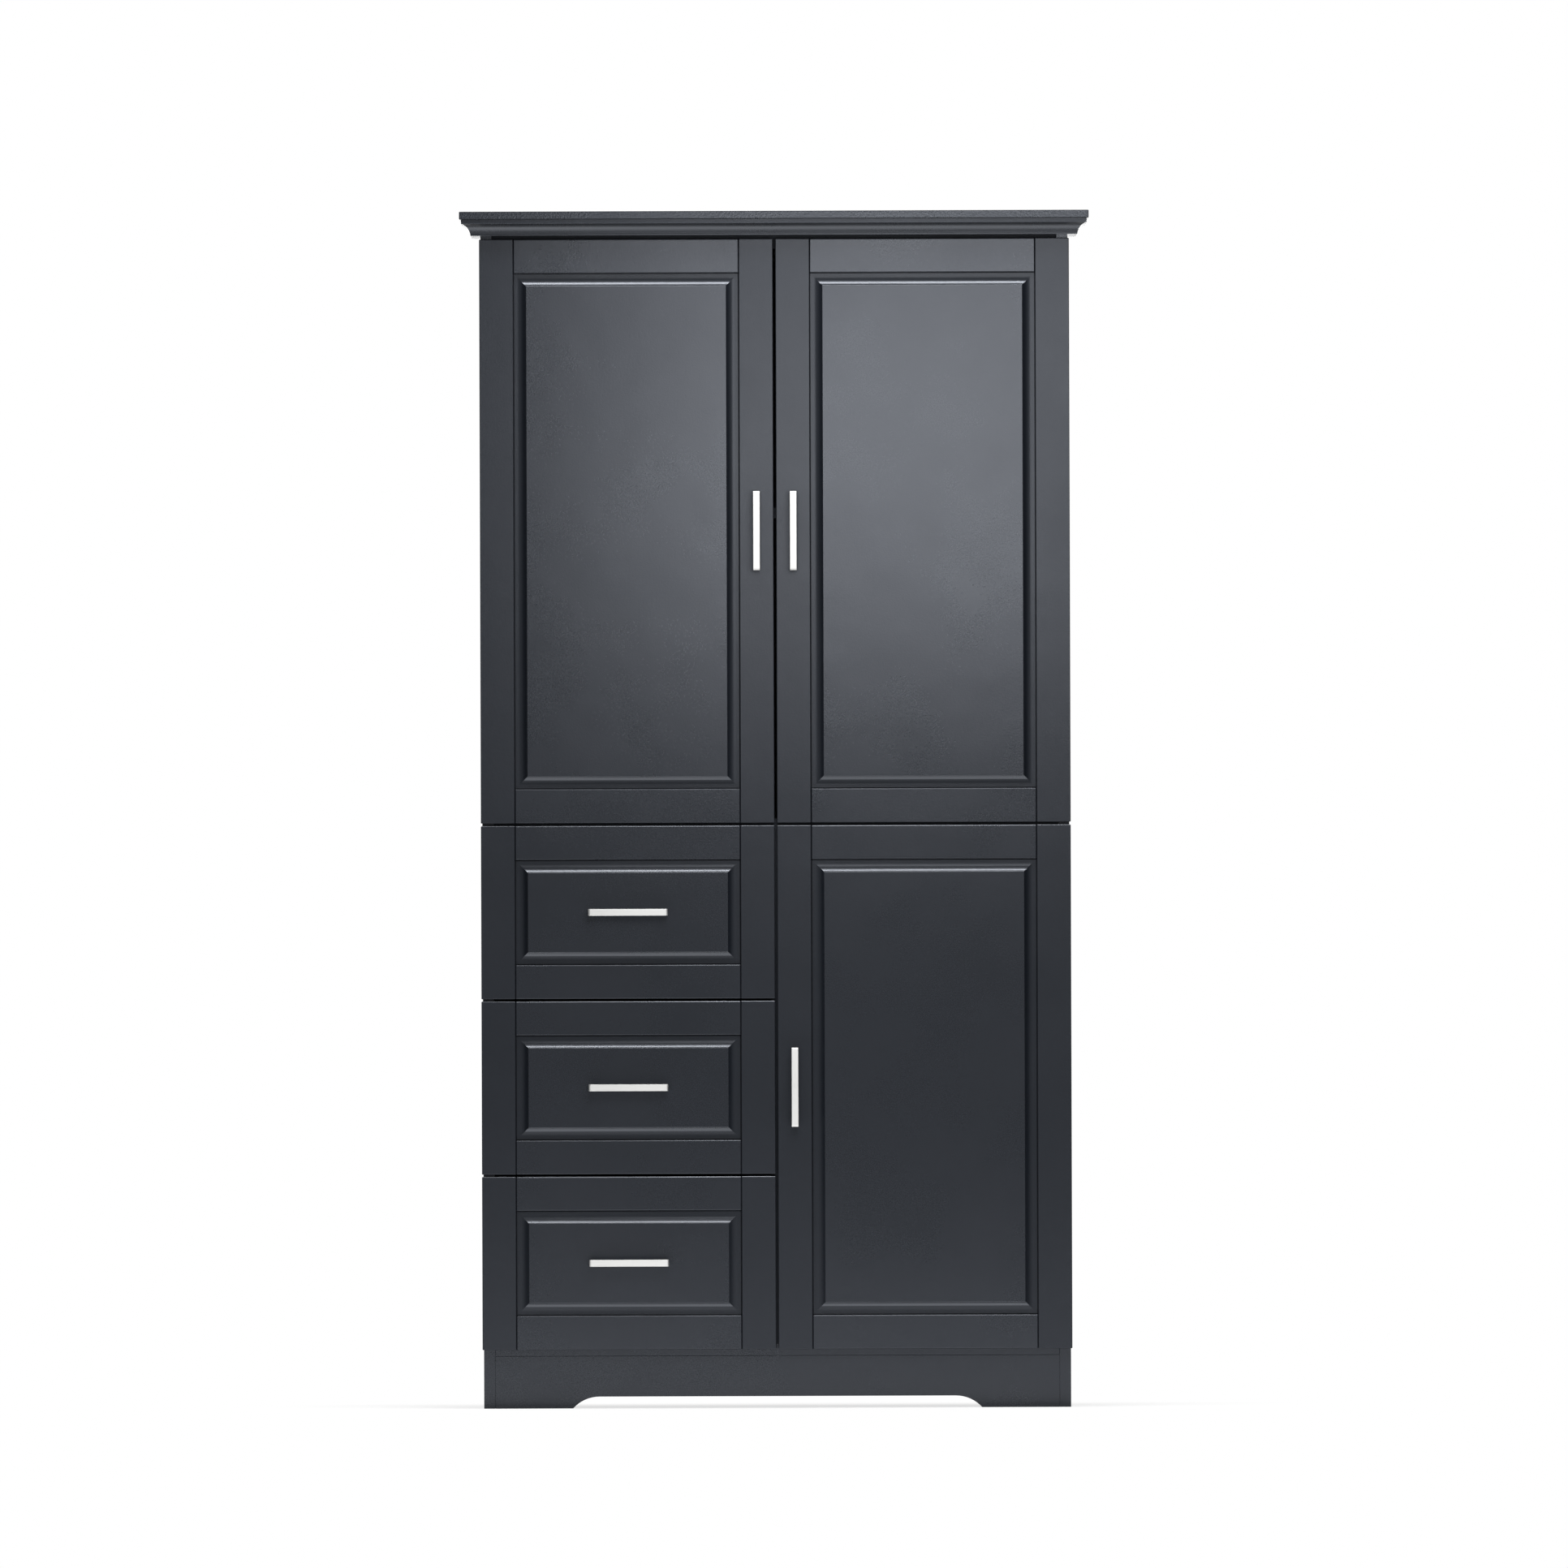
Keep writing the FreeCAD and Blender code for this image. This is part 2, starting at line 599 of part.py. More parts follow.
def drawer_runner(x_face, side, z):
    """The drawer's rail: it carries the box's lower edge and rides on the cabinet's roller."""
    def span(near, far):
        return sorted((x_face + side * near, x_face + side * far))

    y_end = Y_DOOR_BACK + RUNNER_LENGTH
    web_near = RUNNER_SPACE - RUNNER_SHEET
    foot = z - RUNNER_SHEET
    top = z + FLANGE_UNDER + RUNNER_SHEET
    web = block(*span(web_near, RUNNER_SPACE), Y_DOOR_BACK, y_end, foot, top)
    seat = block(*span(web_near, RUNNER_SPACE + BOX_SIDE), Y_DOOR_BACK, y_end, foot, z)
    ride = block(*span(ROLLER_OUT, RUNNER_SPACE), Y_DOOR_BACK, y_end, z + FLANGE_UNDER, top)
    axle_length = RUNNER_SPACE - ROLLER_OUT + AXLE_END
    axle_root = point(x_face + side * RUNNER_SPACE, Y_REAR_ROLLER, z + REAR_ROLLER_UP)
    axle = peg(AXLE_RADIUS, axle_root, -side * axle_length)
    return web.fuse([seat, ride, axle]).removeSplitter()


def roller(x_face, side, y, z):
    """A wheel that turns on its runner's axle."""
    near = point(x_face + side * ROLLER_OUT, y, z)
    wheel = rod(ROLLER_RADIUS, near, RIGHT * side, ROLLER_WIDTH)
    # The bore's flats clear the axle's corners, so that the wheel turns freely
    bore_radius = (AXLE_RADIUS + AXLE_CLEARANCE) / math.cos(math.pi / PEG_SIDES)
    bore = peg(bore_radius, near - RIGHT * side * OVERRUN, side * (ROLLER_WIDTH + 2 * OVERRUN))
    return wheel.cut(bore)


# Each drawer has a runner on the side panel's face and one on the divider's face
RUNNER_FACES = ((-INNER_HALF, 1), (-HALF_DIVIDER, -1))


# Shelves, their pins and the rows of holes

Y_SHELF_ROWS = (Y_CARCASS + SHELF_ROW_FROM_FRONT, Y_BACK_BOARD - SHELF_ROW_FROM_BACK)
Z_UPPER_SHELF = (Z_MIDDLE_TOP + Z_CEILING) / 2
Z_LOWER_SHELF = (Z_FLOOR_BOARD + Z_MIDDLE_UNDER) / 2


def shelf(x_low, x_high, z):
    """A loose shelf whose underside is at z."""
    return block(
        x_low + SHELF_CLEARANCE, x_high - SHELF_CLEARANCE, Y_CARCASS + SHELF_SETBACK,
        Y_BACK_BOARD - SHELF_CLEARANCE, z, z + BOARD,
    )


def shelf_holes(x_face, out, z_shelf):
    """Two rows of blind holes, centred on the height where the shelf's pins sit."""
    z_pin = z_shelf - SHELF_PAD_THICKNESS - SHELF_PIN_RADIUS
    lowest = z_pin - SHELF_HOLE_PITCH * (SHELF_HOLE_COUNT - 1) / 2
    return [
        peg(
            SHELF_PIN_RADIUS + SHELF_PIN_CLEARANCE,
            point(x_face + out * OVERRUN, y, lowest + SHELF_HOLE_PITCH * step),
            -out * (SHELF_HOLE_DEPTH + OVERRUN),
        )
        for y in Y_SHELF_ROWS
        for step in range(SHELF_HOLE_COUNT)
    ]


def shelf_pins(x_face, out, z_shelf):
    """The two pins on one face, each with a flat pad under the shelf."""
    pins = []
    z_pin = z_shelf - SHELF_PAD_THICKNESS - SHELF_PIN_RADIUS
    pad_reach = sorted((x_face, x_face + out * SHELF_PIN_LENGTH))
    for y in Y_SHELF_ROWS:
        inner_end = point(x_face - out * SHELF_PIN_LENGTH, y, z_pin)
        stem = peg(SHELF_PIN_RADIUS, inner_end, out * 2 * SHELF_PIN_LENGTH)
        pad = block(*pad_reach, y - SHELF_PAD_WIDTH / 2, y + SHELF_PAD_WIDTH / 2, z_pin, z_shelf)
        pins.append(stem.fuse(pad).removeSplitter())
    return pins


# Assembly

def carcass():
    """The fixed boards, the crown, the shelves and what holds them."""
    left_panel = side_panel()
    boards = {
        "left_side_panel": left_panel.cut(shelf_holes(-INNER_HALF, 1, Z_UPPER_SHELF)),
        "right_side_panel": mirrored(left_panel).cut(
            shelf_holes(INNER_HALF, -1, Z_UPPER_SHELF) + shelf_holes(INNER_HALF, -1, Z_LOWER_SHELF)
        ),
        "top_board": top_board(),
        "top_front_rail": block(
            -INNER_HALF, INNER_HALF, Y_CARCASS, Y_CARCASS + BOARD, Z_CEILING - TOP_RAIL_HEIGHT, Z_CEILING
        ),
        "middle_panel": inner_board(Z_MIDDLE_UNDER, Z_MIDDLE_TOP),
        "bottom_panel": inner_board(KICK_HEIGHT, Z_FLOOR_BOARD),
        "lower_divider": block(
            -HALF_DIVIDER, HALF_DIVIDER, Y_CARCASS, Y_BACK_BOARD, Z_FLOOR_BOARD, Z_MIDDLE_UNDER
        ).cut(shelf_holes(HALF_DIVIDER, 1, Z_LOWER_SHELF)),
        "kick_board": kick_board(),
        "crown_front_moulding": crown_front(),
        "crown_left_moulding": crown_left(),
        "crown_right_moulding": mirrored(crown_left()),
        "upper_back_board": back_board(Z_SEAM, Z_CEILING),
        "lower_back_board": back_board(KICK_HEIGHT, Z_SEAM),
        "upper_shelf": shelf(-INNER_HALF, INNER_HALF, Z_UPPER_SHELF),
        "lower_shelf": shelf(HALF_DIVIDER, INNER_HALF, Z_LOWER_SHELF),
    }
    nodes = {name: [board] for name, board in boards.items()}
    nodes["shelf_pins"] = [
        pin
        for x_face, out, z in (
            (-INNER_HALF, 1, Z_UPPER_SHELF),
            (INNER_HALF, -1, Z_UPPER_SHELF),
            (HALF_DIVIDER, 1, Z_LOWER_SHELF),
            (INNER_HALF, -1, Z_LOWER_SHELF),
        )
        for pin in shelf_pins(x_face, out, z)
    ]
    nodes["cabinet_runners"] = []
    nodes["hinge_arms"] = []
    nodes["hinge_plates"] = []
    return nodes


# Doors as (name, low X, high X, low Z, high Z, hinged on the left)
DOORS = (
    ("upper_left_door", -HALF_FRONT, -X_MEETING, Z_UPPER_DOORS, Z_UPPER_DOORS_TOP, True),
    ("upper_right_door", X_MEETING, HALF_FRONT, Z_UPPER_DOORS, Z_UPPER_DOORS_TOP, False),
    ("lower_door", X_MEETING, HALF_FRONT, Z_LOW_FRONTS, Z_LOW_FRONTS_TOP, False),
)


def add_doors(nodes):
    """Each door's frame, panel, pull and hinges, with the hinges' fixed halves."""
    for name, x_low, x_high, z_low, z_high, on_left in DOORS:
        hinge_heights = (z_low + HINGE_FROM_DOOR_END, z_high - HINGE_FROM_DOOR_END)
        bores = [at_hinge(cup_bore(CUP_CLEARANCE), z, on_left) for z in hinge_heights]
        stiles = front_stiles(x_low, x_high, z_low, z_high)
        nodes[name + "_stiles"] = [stile.cut(bores) for stile in stiles]
        nodes[name + "_rails"] = front_rails(x_low, x_high, z_low, z_high)
        nodes[name + "_panel"] = [front_panel(x_low, x_high, z_low, z_high)]
        x_pull = x_high - STILE / 2 if on_left else x_low + STILE / 2
        nodes[name + "_pull"] = [pull(x_pull, (z_low + z_high) / 2, True)]
        nodes[name + "_hinge_cups"] = [
            at_hinge(hinge_cup(), z, on_left) for z in hinge_heights
        ]
        nodes["hinge_arms"] += [at_hinge(hinge_arm(), z, on_left) for z in hinge_heights]
        nodes["hinge_plates"] += [at_hinge(hinge_plate(), z, on_left) for z in hinge_heights]


DRAWER_NAMES = ("bottom_drawer", "middle_drawer", "top_drawer")


def drawer_levels():
    """Each drawer as (name, its front's lower edge)."""
    pitch = DRAWER_FRONT_HEIGHT + DRAWER_SEAM
    return [(DRAWER_NAMES[i], Z_LOW_FRONTS + i * pitch) for i in range(DRAWER_COUNT)]


def add_drawers(nodes):
    """Each drawer's framed front, pull, box, runners and rollers."""
    for name, z_front in drawer_levels():
        span = (-HALF_FRONT, -X_MEETING, z_front, z_front + DRAWER_FRONT_HEIGHT)
        z_box = z_front + BOX_LIFT
        nodes[name + "_front_frame"] = front_stiles(*span) + front_rails(*span)
        nodes[name + "_front_panel"] = [front_panel(*span)]
        x_pull = (-HALF_FRONT - X_MEETING) / 2
        nodes[name + "_pull"] = [pull(x_pull, z_front + DRAWER_FRONT_HEIGHT / 2, False)]
        nodes[name + "_box_walls"] = box_sides(z_box) + [box_back(z_box)]
        nodes[name + "_box_bottom"] = [box_bottom(z_box)]
        nodes[name + "_runners"] = [drawer_runner(x, side, z_box) for x, side in RUNNER_FACES]
        nodes["cabinet_runners"] += [cabinet_runner(x, side, z_box) for x, side in RUNNER_FACES]
        nodes[name + "_front_rollers"] = [
            roller(x, side, Y_FRONT_ROLLER, z_box + FRONT_ROLLER_UP) for x, side in RUNNER_FACES
        ]
        nodes[name + "_rear_rollers"] = [
            roller(x, side, Y_REAR_ROLLER, z_box + REAR_ROLLER_UP) for x, side in RUNNER_FACES
        ]


def main():
    nodes = carcass()
    add_doors(nodes)
    add_drawers(nodes)
    os.makedirs("parts", exist_ok=True)
    for name, solids in nodes.items():
        shape = solids[0] if len(solids) == 1 else Part.makeCompound(solids)
        shape.exportStep("parts/" + name + ".step")
    print(len(nodes), "nodes,", sum(len(solids) for solids in nodes.values()), "solids")
    return nodes


NODES = main()
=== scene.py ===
"""A tall charcoal storage cabinet, dressed over its CAD frame and set in a plain studio."""

import logging
import math
from abc import ABC, abstractmethod
from dataclasses import dataclass, field, replace
from enum import Enum
from typing import Callable, ClassVar, Iterable, Optional, Sequence, Union

import bmesh
import bpy
from bmesh.types import BMEdge, BMesh, BMFace, BMVert
from mathutils import Matrix, Vector


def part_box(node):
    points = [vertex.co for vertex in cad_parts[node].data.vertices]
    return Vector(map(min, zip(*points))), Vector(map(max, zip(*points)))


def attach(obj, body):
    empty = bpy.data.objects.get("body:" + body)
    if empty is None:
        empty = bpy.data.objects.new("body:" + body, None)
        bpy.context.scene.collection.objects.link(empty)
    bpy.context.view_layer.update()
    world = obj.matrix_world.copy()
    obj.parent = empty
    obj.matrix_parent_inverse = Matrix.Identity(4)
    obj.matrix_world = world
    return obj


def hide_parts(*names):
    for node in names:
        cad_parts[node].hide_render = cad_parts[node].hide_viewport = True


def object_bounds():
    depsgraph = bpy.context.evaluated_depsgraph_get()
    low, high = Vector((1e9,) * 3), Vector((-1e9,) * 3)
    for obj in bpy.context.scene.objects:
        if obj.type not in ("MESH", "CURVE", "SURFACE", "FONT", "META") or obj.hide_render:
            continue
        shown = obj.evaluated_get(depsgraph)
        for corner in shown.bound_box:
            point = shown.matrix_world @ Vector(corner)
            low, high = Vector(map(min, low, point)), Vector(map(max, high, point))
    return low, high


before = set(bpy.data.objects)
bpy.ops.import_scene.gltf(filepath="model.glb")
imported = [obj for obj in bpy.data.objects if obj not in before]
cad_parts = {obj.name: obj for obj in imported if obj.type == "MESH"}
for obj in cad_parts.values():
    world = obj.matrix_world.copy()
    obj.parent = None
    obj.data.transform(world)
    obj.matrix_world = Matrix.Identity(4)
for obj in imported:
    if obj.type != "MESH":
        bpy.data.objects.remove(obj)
CAD_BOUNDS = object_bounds()

LOG = logging.getLogger("cabinet")

MM = 0.001
UP = Vector((0.0, 0.0, 1.0))
RIGHT = Vector((1.0, 0.0, 0.0))
BACK = Vector((0.0, 1.0, 0.0))

# Edges that turn more than this are drawn sharp, so arrises stay crisp and coves stay smooth
SHARP_TURN = math.radians(14.0)
# Faces broader than this, in square metres, are drawn flat
BROAD_FACE = 0.002
# Edges that turn more than this are corners, which are softened
CORNER_TURN = math.radians(40.0)
# A face counts as looking along a direction from this cosine upwards
FACING = 0.999
TINY = 1e-6
MERGE_DISTANCE = 1e-7


class Slot(Enum):
    """The record's material slots."""

    PAINTED_BOARD = "painted_board"
    DRAWER_BOARD = "drawer_board"
    FIBREBOARD = "fibreboard"
    SATIN_NICKEL = "satin_nickel"
    NICKEL_PLATE = "nickel_plate"
    RUNNER_STEEL = "runner_steel"
    NYLON = "nylon"


class Hand(Enum):
    """The side of the cabinet that a piece belongs to, as the sign of its X."""

    LEFT = -1
    RIGHT = 1


class Lie(Enum):
    """How a bar pull is set on its front."""

    UPRIGHT = "upright"
    LEVEL = "level"


@dataclass(frozen=True)
class Box:
    """A box between two corners, in metres in the row frame."""

    low: Vector
    high: Vector

    @classmethod
    def of(cls, node: str) -> "Box":
        """Gives the box of a CAD node at rest."""
        return cls(*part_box(node))

    @property
    def centre(self) -> Vector:
        """The middle of the box."""
        return (self.low + self.high) / 2

    @property
    def size(self) -> Vector:
        """The box's lengths along X, Y and Z."""
        return self.high - self.low


# Shader graphs

# The average of a cloudy pattern
EVEN = 0.5
WHITE = (1.0, 1.0, 1.0, 1.0)

Number = Union["Wire", float]
Colour = tuple[float, float, float]


class Wire:
    """A socket that carries a number or a vector, with arithmetic that adds nodes."""

    def __init__(self, graph: "Graph", socket: bpy.types.NodeSocket) -> None:
        """Wraps an output socket of a graph."""
        self.graph = graph
        self.socket = socket

    def __add__(self, other: Number) -> "Wire":
        """Adds two numbers."""
        return self.graph.maths("ADD", self, other)

    __radd__ = __add__

    def __sub__(self, other: Number) -> "Wire":
        """Takes a number from this one."""
        return self.graph.maths("SUBTRACT", self, other)

    def __rsub__(self, other: Number) -> "Wire":
        """Takes this number from another."""
        return self.graph.maths("SUBTRACT", other, self)

    def __mul__(self, other: Number) -> "Wire":
        """Multiplies two numbers."""
        return self.graph.maths("MULTIPLY", self, other)

    __rmul__ = __mul__

    def __gt__(self, other: Number) -> "Wire":
        """Gives 1 where this number is the larger, and 0 elsewhere."""
        return self.graph.maths("GREATER_THAN", self, other)

    def rise(self, start: float, end: float) -> "Wire":
        """Rises smoothly from 0 at start to 1 at end.

        Args:
            start: The number at which the rise starts.
            end: The number at which the rise ends.

        Returns:
            The rise, between 0 and 1.
        """
        settings = {"interpolation_type": "SMOOTHSTEP"}
        sockets = {"Value": self, "From Min": start, "From Max": end}
        return self.graph.add("ShaderNodeMapRange", settings, sockets)["Result"]


class Outlets:
    """The outputs of one node."""

    def __init__(self, graph: "Graph", node: bpy.types.Node) -> None:
        """Wraps a node of a graph."""
        self.graph = graph
        self.node = node

    def __getitem__(self, key: Union[str, int]) -> Wire:
        """Gives an output by its name or number."""
        return Wire(self.graph, self.node.outputs[key])


class Graph:
    """The nodes of a material or of the world."""

    # Places of the colour sockets on a Mix node
    MIX_FACTOR = 0
    MIX_FIRST = 6
    MIX_SECOND = 7
    MIX_RESULT = 2

    def __init__(self, tree: bpy.types.NodeTree) -> None:
        """Empties a node tree to fill it anew."""
        self.tree = tree
        tree.nodes.clear()

    def add(self, kind: str, settings: dict, sockets: dict) -> Outlets:
        """Adds a node.

        Args:
            kind: The node's type.
            settings: The node's own settings, which are set first.
            sockets: Values or wires for its inputs, by name or number.

        Returns:
            The node's outputs.
        """
        node = self.tree.nodes.new(kind)
        for key, value in settings.items():
            setattr(node, key, value)
        for key, value in sockets.items():
            if isinstance(value, Wire):
                self.tree.links.new(value.socket, node.inputs[key])
            else:
                node.inputs[key].default_value = value
        return Outlets(self, node)

    def maths(self, operation: str, first: Number, second: Number) -> Wire:
        """Adds a Math node on two numbers."""
        return self.add("ShaderNodeMath", {"operation": operation}, {0: first, 1: second})["Value"]

    def blend(self, factor: Number, first: Union[Colour, Wire], second: Union[Colour, Wire]) -> Wire:
        """Mixes two colours.

        Args:
            factor: 0 gives the first colour and 1 the second.
            first: The first colour.
            second: The second colour.

        Returns:
            The mixed colour.
        """
        ends = [(*end, 1.0) if isinstance(end, tuple) else end for end in (first, second)]
        sockets = {self.MIX_FACTOR: factor, self.MIX_FIRST: ends[0], self.MIX_SECOND: ends[1]}
        return self.add("ShaderNodeMix", {"data_type": "RGBA"}, sockets)[self.MIX_RESULT]

    def place(self) -> Wire:
        """Gives the piece's own coordinates, in metres."""
        return self.add("ShaderNodeTexCoord", {}, {})["Object"]

    def stretched(self, place: Wire, scale: Vector) -> Wire:
        """Scales coordinates along X, Y and Z."""
        return self.add("ShaderNodeMapping", {}, {"Vector": place, "Scale": scale})["Vector"]

    def noise(self, place: Wire, size: float, detail: float = 2.0, roughness: float = 0.5) -> Wire:
        """Adds a cloudy pattern.

        Args:
            place: The coordinates.
            size: The size of one cloud, in the coordinates' unit.
            detail: How many finer layers are added.
            roughness: How strong the finer layers are.

        Returns:
            The pattern, between 0 and 1 and about 0.5 on average.
        """
        sockets = {"Vector": place, "Scale": 1.0 / size, "Detail": detail, "Roughness": roughness}
        return self.add("ShaderNodeTexNoise", {}, sockets)["Fac"]

    def bump(self, height: Wire, depth: float, strength: float = 1.0) -> Wire:
        """Turns a height pattern into a normal.

        Args:
            height: The pattern.
            depth: The height of a full step of the pattern, in metres.
            strength: How much of the bump is used.

        Returns:
            The bumped normal.
        """
        sockets = {"Height": height, "Distance": depth, "Strength": strength}
        return self.add("ShaderNodeBump", {}, sockets)["Normal"]

    def principled(self, sockets: dict) -> Wire:
        """Adds the main shader with the given inputs."""
        return self.add("ShaderNodeBsdfPrincipled", {}, sockets)["BSDF"]

    def seen(self) -> Wire:
        """Tells what the camera sees, also in mirror and glass.

        Returns:
            1 for what is seen and 0 for other light.
        """
        path = self.add("ShaderNodeLightPath", {}, {})
        direct = self.maths("MAXIMUM", path["Is Camera Ray"], path["Is Glossy Ray"])
        return self.maths("MAXIMUM", direct, path["Is Transmission Ray"])


# Finishes


def new_material(name: str, surface: Callable[[Graph], Wire]) -> bpy.types.Material:
    """Makes a material.

    Args:
        name: The material's name.
        surface: Builds the shader in an empty graph and gives its output.

    Returns:
        The material.
    """
    made = bpy.data.materials.new(name)
    made.use_nodes = True
    graph = Graph(made.node_tree)
    graph.add("ShaderNodeOutputMaterial", {}, {"Surface": surface(graph)})
    return made


@dataclass(frozen=True)
class Finish(ABC):
    """A finish that makes its material once and then hands it out."""

    name: str
    slot: Slot

    @abstractmethod
    def surface(self, graph: Graph) -> Wire:
        """Builds the shader and gives its output."""

    def material(self) -> bpy.types.Material:
        """Gives the finish's material, made at the first call."""
        return bpy.data.materials.get(self.name) or new_material(self.name, self.surface)


@dataclass(frozen=True)
class SatinPaint(Finish):
    """Sprayed satin paint on board, with a fine orange peel."""

    colour: Colour = (0.0034, 0.0043, 0.0060)
    worn_colour: Colour = (0.0050, 0.0060, 0.0082)  # in its slightly dusty clouds
    roughness: float = 0.28
    roughness_drift: float = 0.09  # over a board
    shine: float = 0.25  # the specular level
    tint: Colour = (0.86, 0.905, 1.0)  # the reflection's colour
    peel_size: float = 2.2 * MM  # one dimple of the orange peel
    peel_depth: float = 0.075 * MM
    ripple_size: float = 70.0 * MM  # one slow ripple of the board under the paint
    ripple_depth: float = 0.35 * MM
    cloud_size: float = 150.0 * MM  # clouds in colour and gloss

    def surface(self, graph: Graph) -> Wire:
        """Builds the shader.

        Args:
            graph: The material's empty graph.

        Returns:
            The shader's output.
        """
        place = graph.place()
        peel = graph.noise(place, self.peel_size, detail=3.0, roughness=0.55)
        ripple = graph.noise(place, self.ripple_size, detail=1.0)
        clouds = graph.noise(place, self.cloud_size, detail=4.0)
        height = peel * self.peel_depth + ripple * self.ripple_depth
        return graph.principled(
            {
                "Base Color": graph.blend(clouds, self.colour, self.worn_colour),
                "Roughness": self.roughness + (clouds + peel * 0.5 - 1.5 * EVEN) * self.roughness_drift,
                "Specular IOR Level": self.shine,
                "Specular Tint": (*self.tint, 1.0),
                "Normal": graph.bump(height, 1.0),
            }
        )


@dataclass(frozen=True)
class BackBoard(Finish):
    """Hardboard that is painted towards the front and raw behind."""

    middle: float = 0.0  # the Y where the paint ends
    paint: Colour = (0.0105, 0.0125, 0.0160)  # in front
    fibre: Colour = (0.25, 0.155, 0.085)  # behind
    dark_fibre: Colour = (0.14, 0.08, 0.042)
    fibre_size: float = 1.6 * MM
    fibre_depth: float = 0.05 * MM
    cloud_size: float = 60.0 * MM
    roughness: float = 0.5
    raw_roughness: float = 0.3  # added on the raw side
    spread: float = 0.1  # how far the fibres change the roughness
    shine: float = 0.3
    clump_share: float = 0.75  # of the fibres in the pattern, beside the clouds
    turn: tuple[float, float] = (0.35, 0.65)  # where the pattern turns from dark to light

    def surface(self, graph: Graph) -> Wire:
        """Builds the shader.

        Args:
            graph: The material's empty graph.

        Returns:
            The shader's output.
        """
        place = graph.place()
        depth = graph.add("ShaderNodeSeparateXYZ", {}, {"Vector": place})["Y"]
        raw = depth > self.middle
        clumps = graph.noise(place, self.fibre_size, detail=5.0, roughness=0.65)
        clouds = graph.noise(place, self.cloud_size, detail=3.0)
        pattern = clumps * self.clump_share + clouds * (1.0 - self.clump_share)
        bare = graph.blend(pattern.rise(*self.turn), self.dark_fibre, self.fibre)
        return graph.principled(
            {
                "Base Color": graph.blend(raw, self.paint, bare),
                "Roughness": self.roughness + raw * self.raw_roughness + (clumps - EVEN) * self.spread,
                "Specular IOR Level": self.shine,
                "Normal": graph.bump(clumps, self.fibre_depth),
            }
        )


@dataclass(frozen=True)
class Streaked(Finish):
    """A surface with fine straight streaks: brushed plate, or foil with an embossed grain."""

    dark: Colour
    light: Colour
    roughness: float
    spread: float  # how far the streaks change the roughness
    stretch: tuple[float, float, float]  # along X, Y and Z, and less than 1 along the streaks
    size: float  # the width of one streak
    depth: float = 0.006 * MM
    detail: float = 3.0
    turn: tuple[float, float] = (0.25, 0.6)  # where the pattern turns from dark to light
    metallic: float = 1.0
    shine: float = 0.5

    def surface(self, graph: Graph) -> Wire:
        """Builds the shader.

        Args:
            graph: The material's empty graph.

        Returns:
            The shader's output.
        """
        drawn_out = graph.stretched(graph.place(), Vector(self.stretch))
        streaks = graph.noise(drawn_out, self.size, detail=self.detail, roughness=0.6)
        return graph.principled(
            {
                "Base Color": graph.blend(streaks.rise(*self.turn), self.dark, self.light),
                "Metallic": self.metallic,
                "Roughness": self.roughness + (streaks - EVEN) * self.spread,
                "Specular IOR Level": self.shine,
                "Normal": graph.bump(streaks, self.depth),
            }
        )


@dataclass(frozen=True)
class Mottled(Finish):
    """A surface with soft clouds of colour and a fine grain: powder coat or moulded nylon."""

    colour: Colour
    cloud_colour: Colour
    roughness: float
    spread: float  # how far the grain changes the roughness
    cloud_size: float
    grain_size: float
    grain_detail: float = 2.0
    grain_depth: float = 0.02 * MM
    subsurface: float = 0.0

    def surface(self, graph: Graph) -> Wire:
        """Builds the shader.

        Args:
            graph: The material's empty graph.

        Returns:
            The shader's output.
        """
        place = graph.place()
        grain = graph.noise(place, self.grain_size, detail=self.grain_detail)
        clouds = graph.noise(place, self.cloud_size, detail=3.0)
        return graph.principled(
            {
                "Base Color": graph.blend(clouds, self.colour, self.cloud_colour),
                "Roughness": self.roughness + (grain - EVEN) * self.spread,
                "Subsurface Weight": self.subsurface,
                "Normal": graph.bump(grain, self.grain_depth),
            }
        )


PAINT = SatinPaint("charcoal_satin_paint", Slot.PAINTED_BOARD)
STILE_PAINT = SatinPaint("charcoal_stile_paint", Slot.PAINTED_BOARD, roughness=0.34, shine=0.205)
# A glossier copy of the paint, painted sheen on faces that look up or down
SHEEN_PAINT = SatinPaint("charcoal_painted_sheen", Slot.PAINTED_BOARD, shine=0.45)
# A very glossy copy of the paint, a painted highlight on the top front arrises
HIGHLIGHT_PAINT = SatinPaint("charcoal_painted_highlight", Slot.PAINTED_BOARD, shine=0.9)
ROUTED_PAINT = SatinPaint("charcoal_routed_paint", Slot.PAINTED_BOARD, roughness=0.33, shine=0.18)
# A darker, matter paint that is painted shade in the joints, the panel grooves and the gap under the crown
SHADE_PAINT = SatinPaint(
    "charcoal_painted_shade", Slot.PAINTED_BOARD, colour=(0.0022, 0.0028, 0.0040),
    worn_colour=(0.0034, 0.0040, 0.0056), roughness=0.5, shine=0.09,
)
INNER_PAINT = SatinPaint(
    "charcoal_inner_paint", Slot.PAINTED_BOARD, colour=(0.0095, 0.0115, 0.0150),
    worn_colour=(0.0120, 0.0140, 0.0180), roughness=0.42, shine=0.14,
)
EDGE_PAINT = SatinPaint("charcoal_edge_paint", Slot.PAINTED_BOARD, peel_size=2.6 * MM, peel_depth=0.26 * MM)
TOP_PAINT = SatinPaint("charcoal_top_paint", Slot.PAINTED_BOARD, roughness=0.36, ripple_depth=0.06 * MM)
FOIL = Streaked(
    "dark_drawer_foil", Slot.DRAWER_BOARD, dark=(0.026, 0.027, 0.030), light=(0.042, 0.043, 0.047),
    roughness=0.55, spread=0.2, stretch=(1.0, 0.04, 1.0), size=2.5 * MM, depth=0.03 * MM, detail=4.0,
    turn=(0.3, 0.7), metallic=0.0, shine=0.35,
)
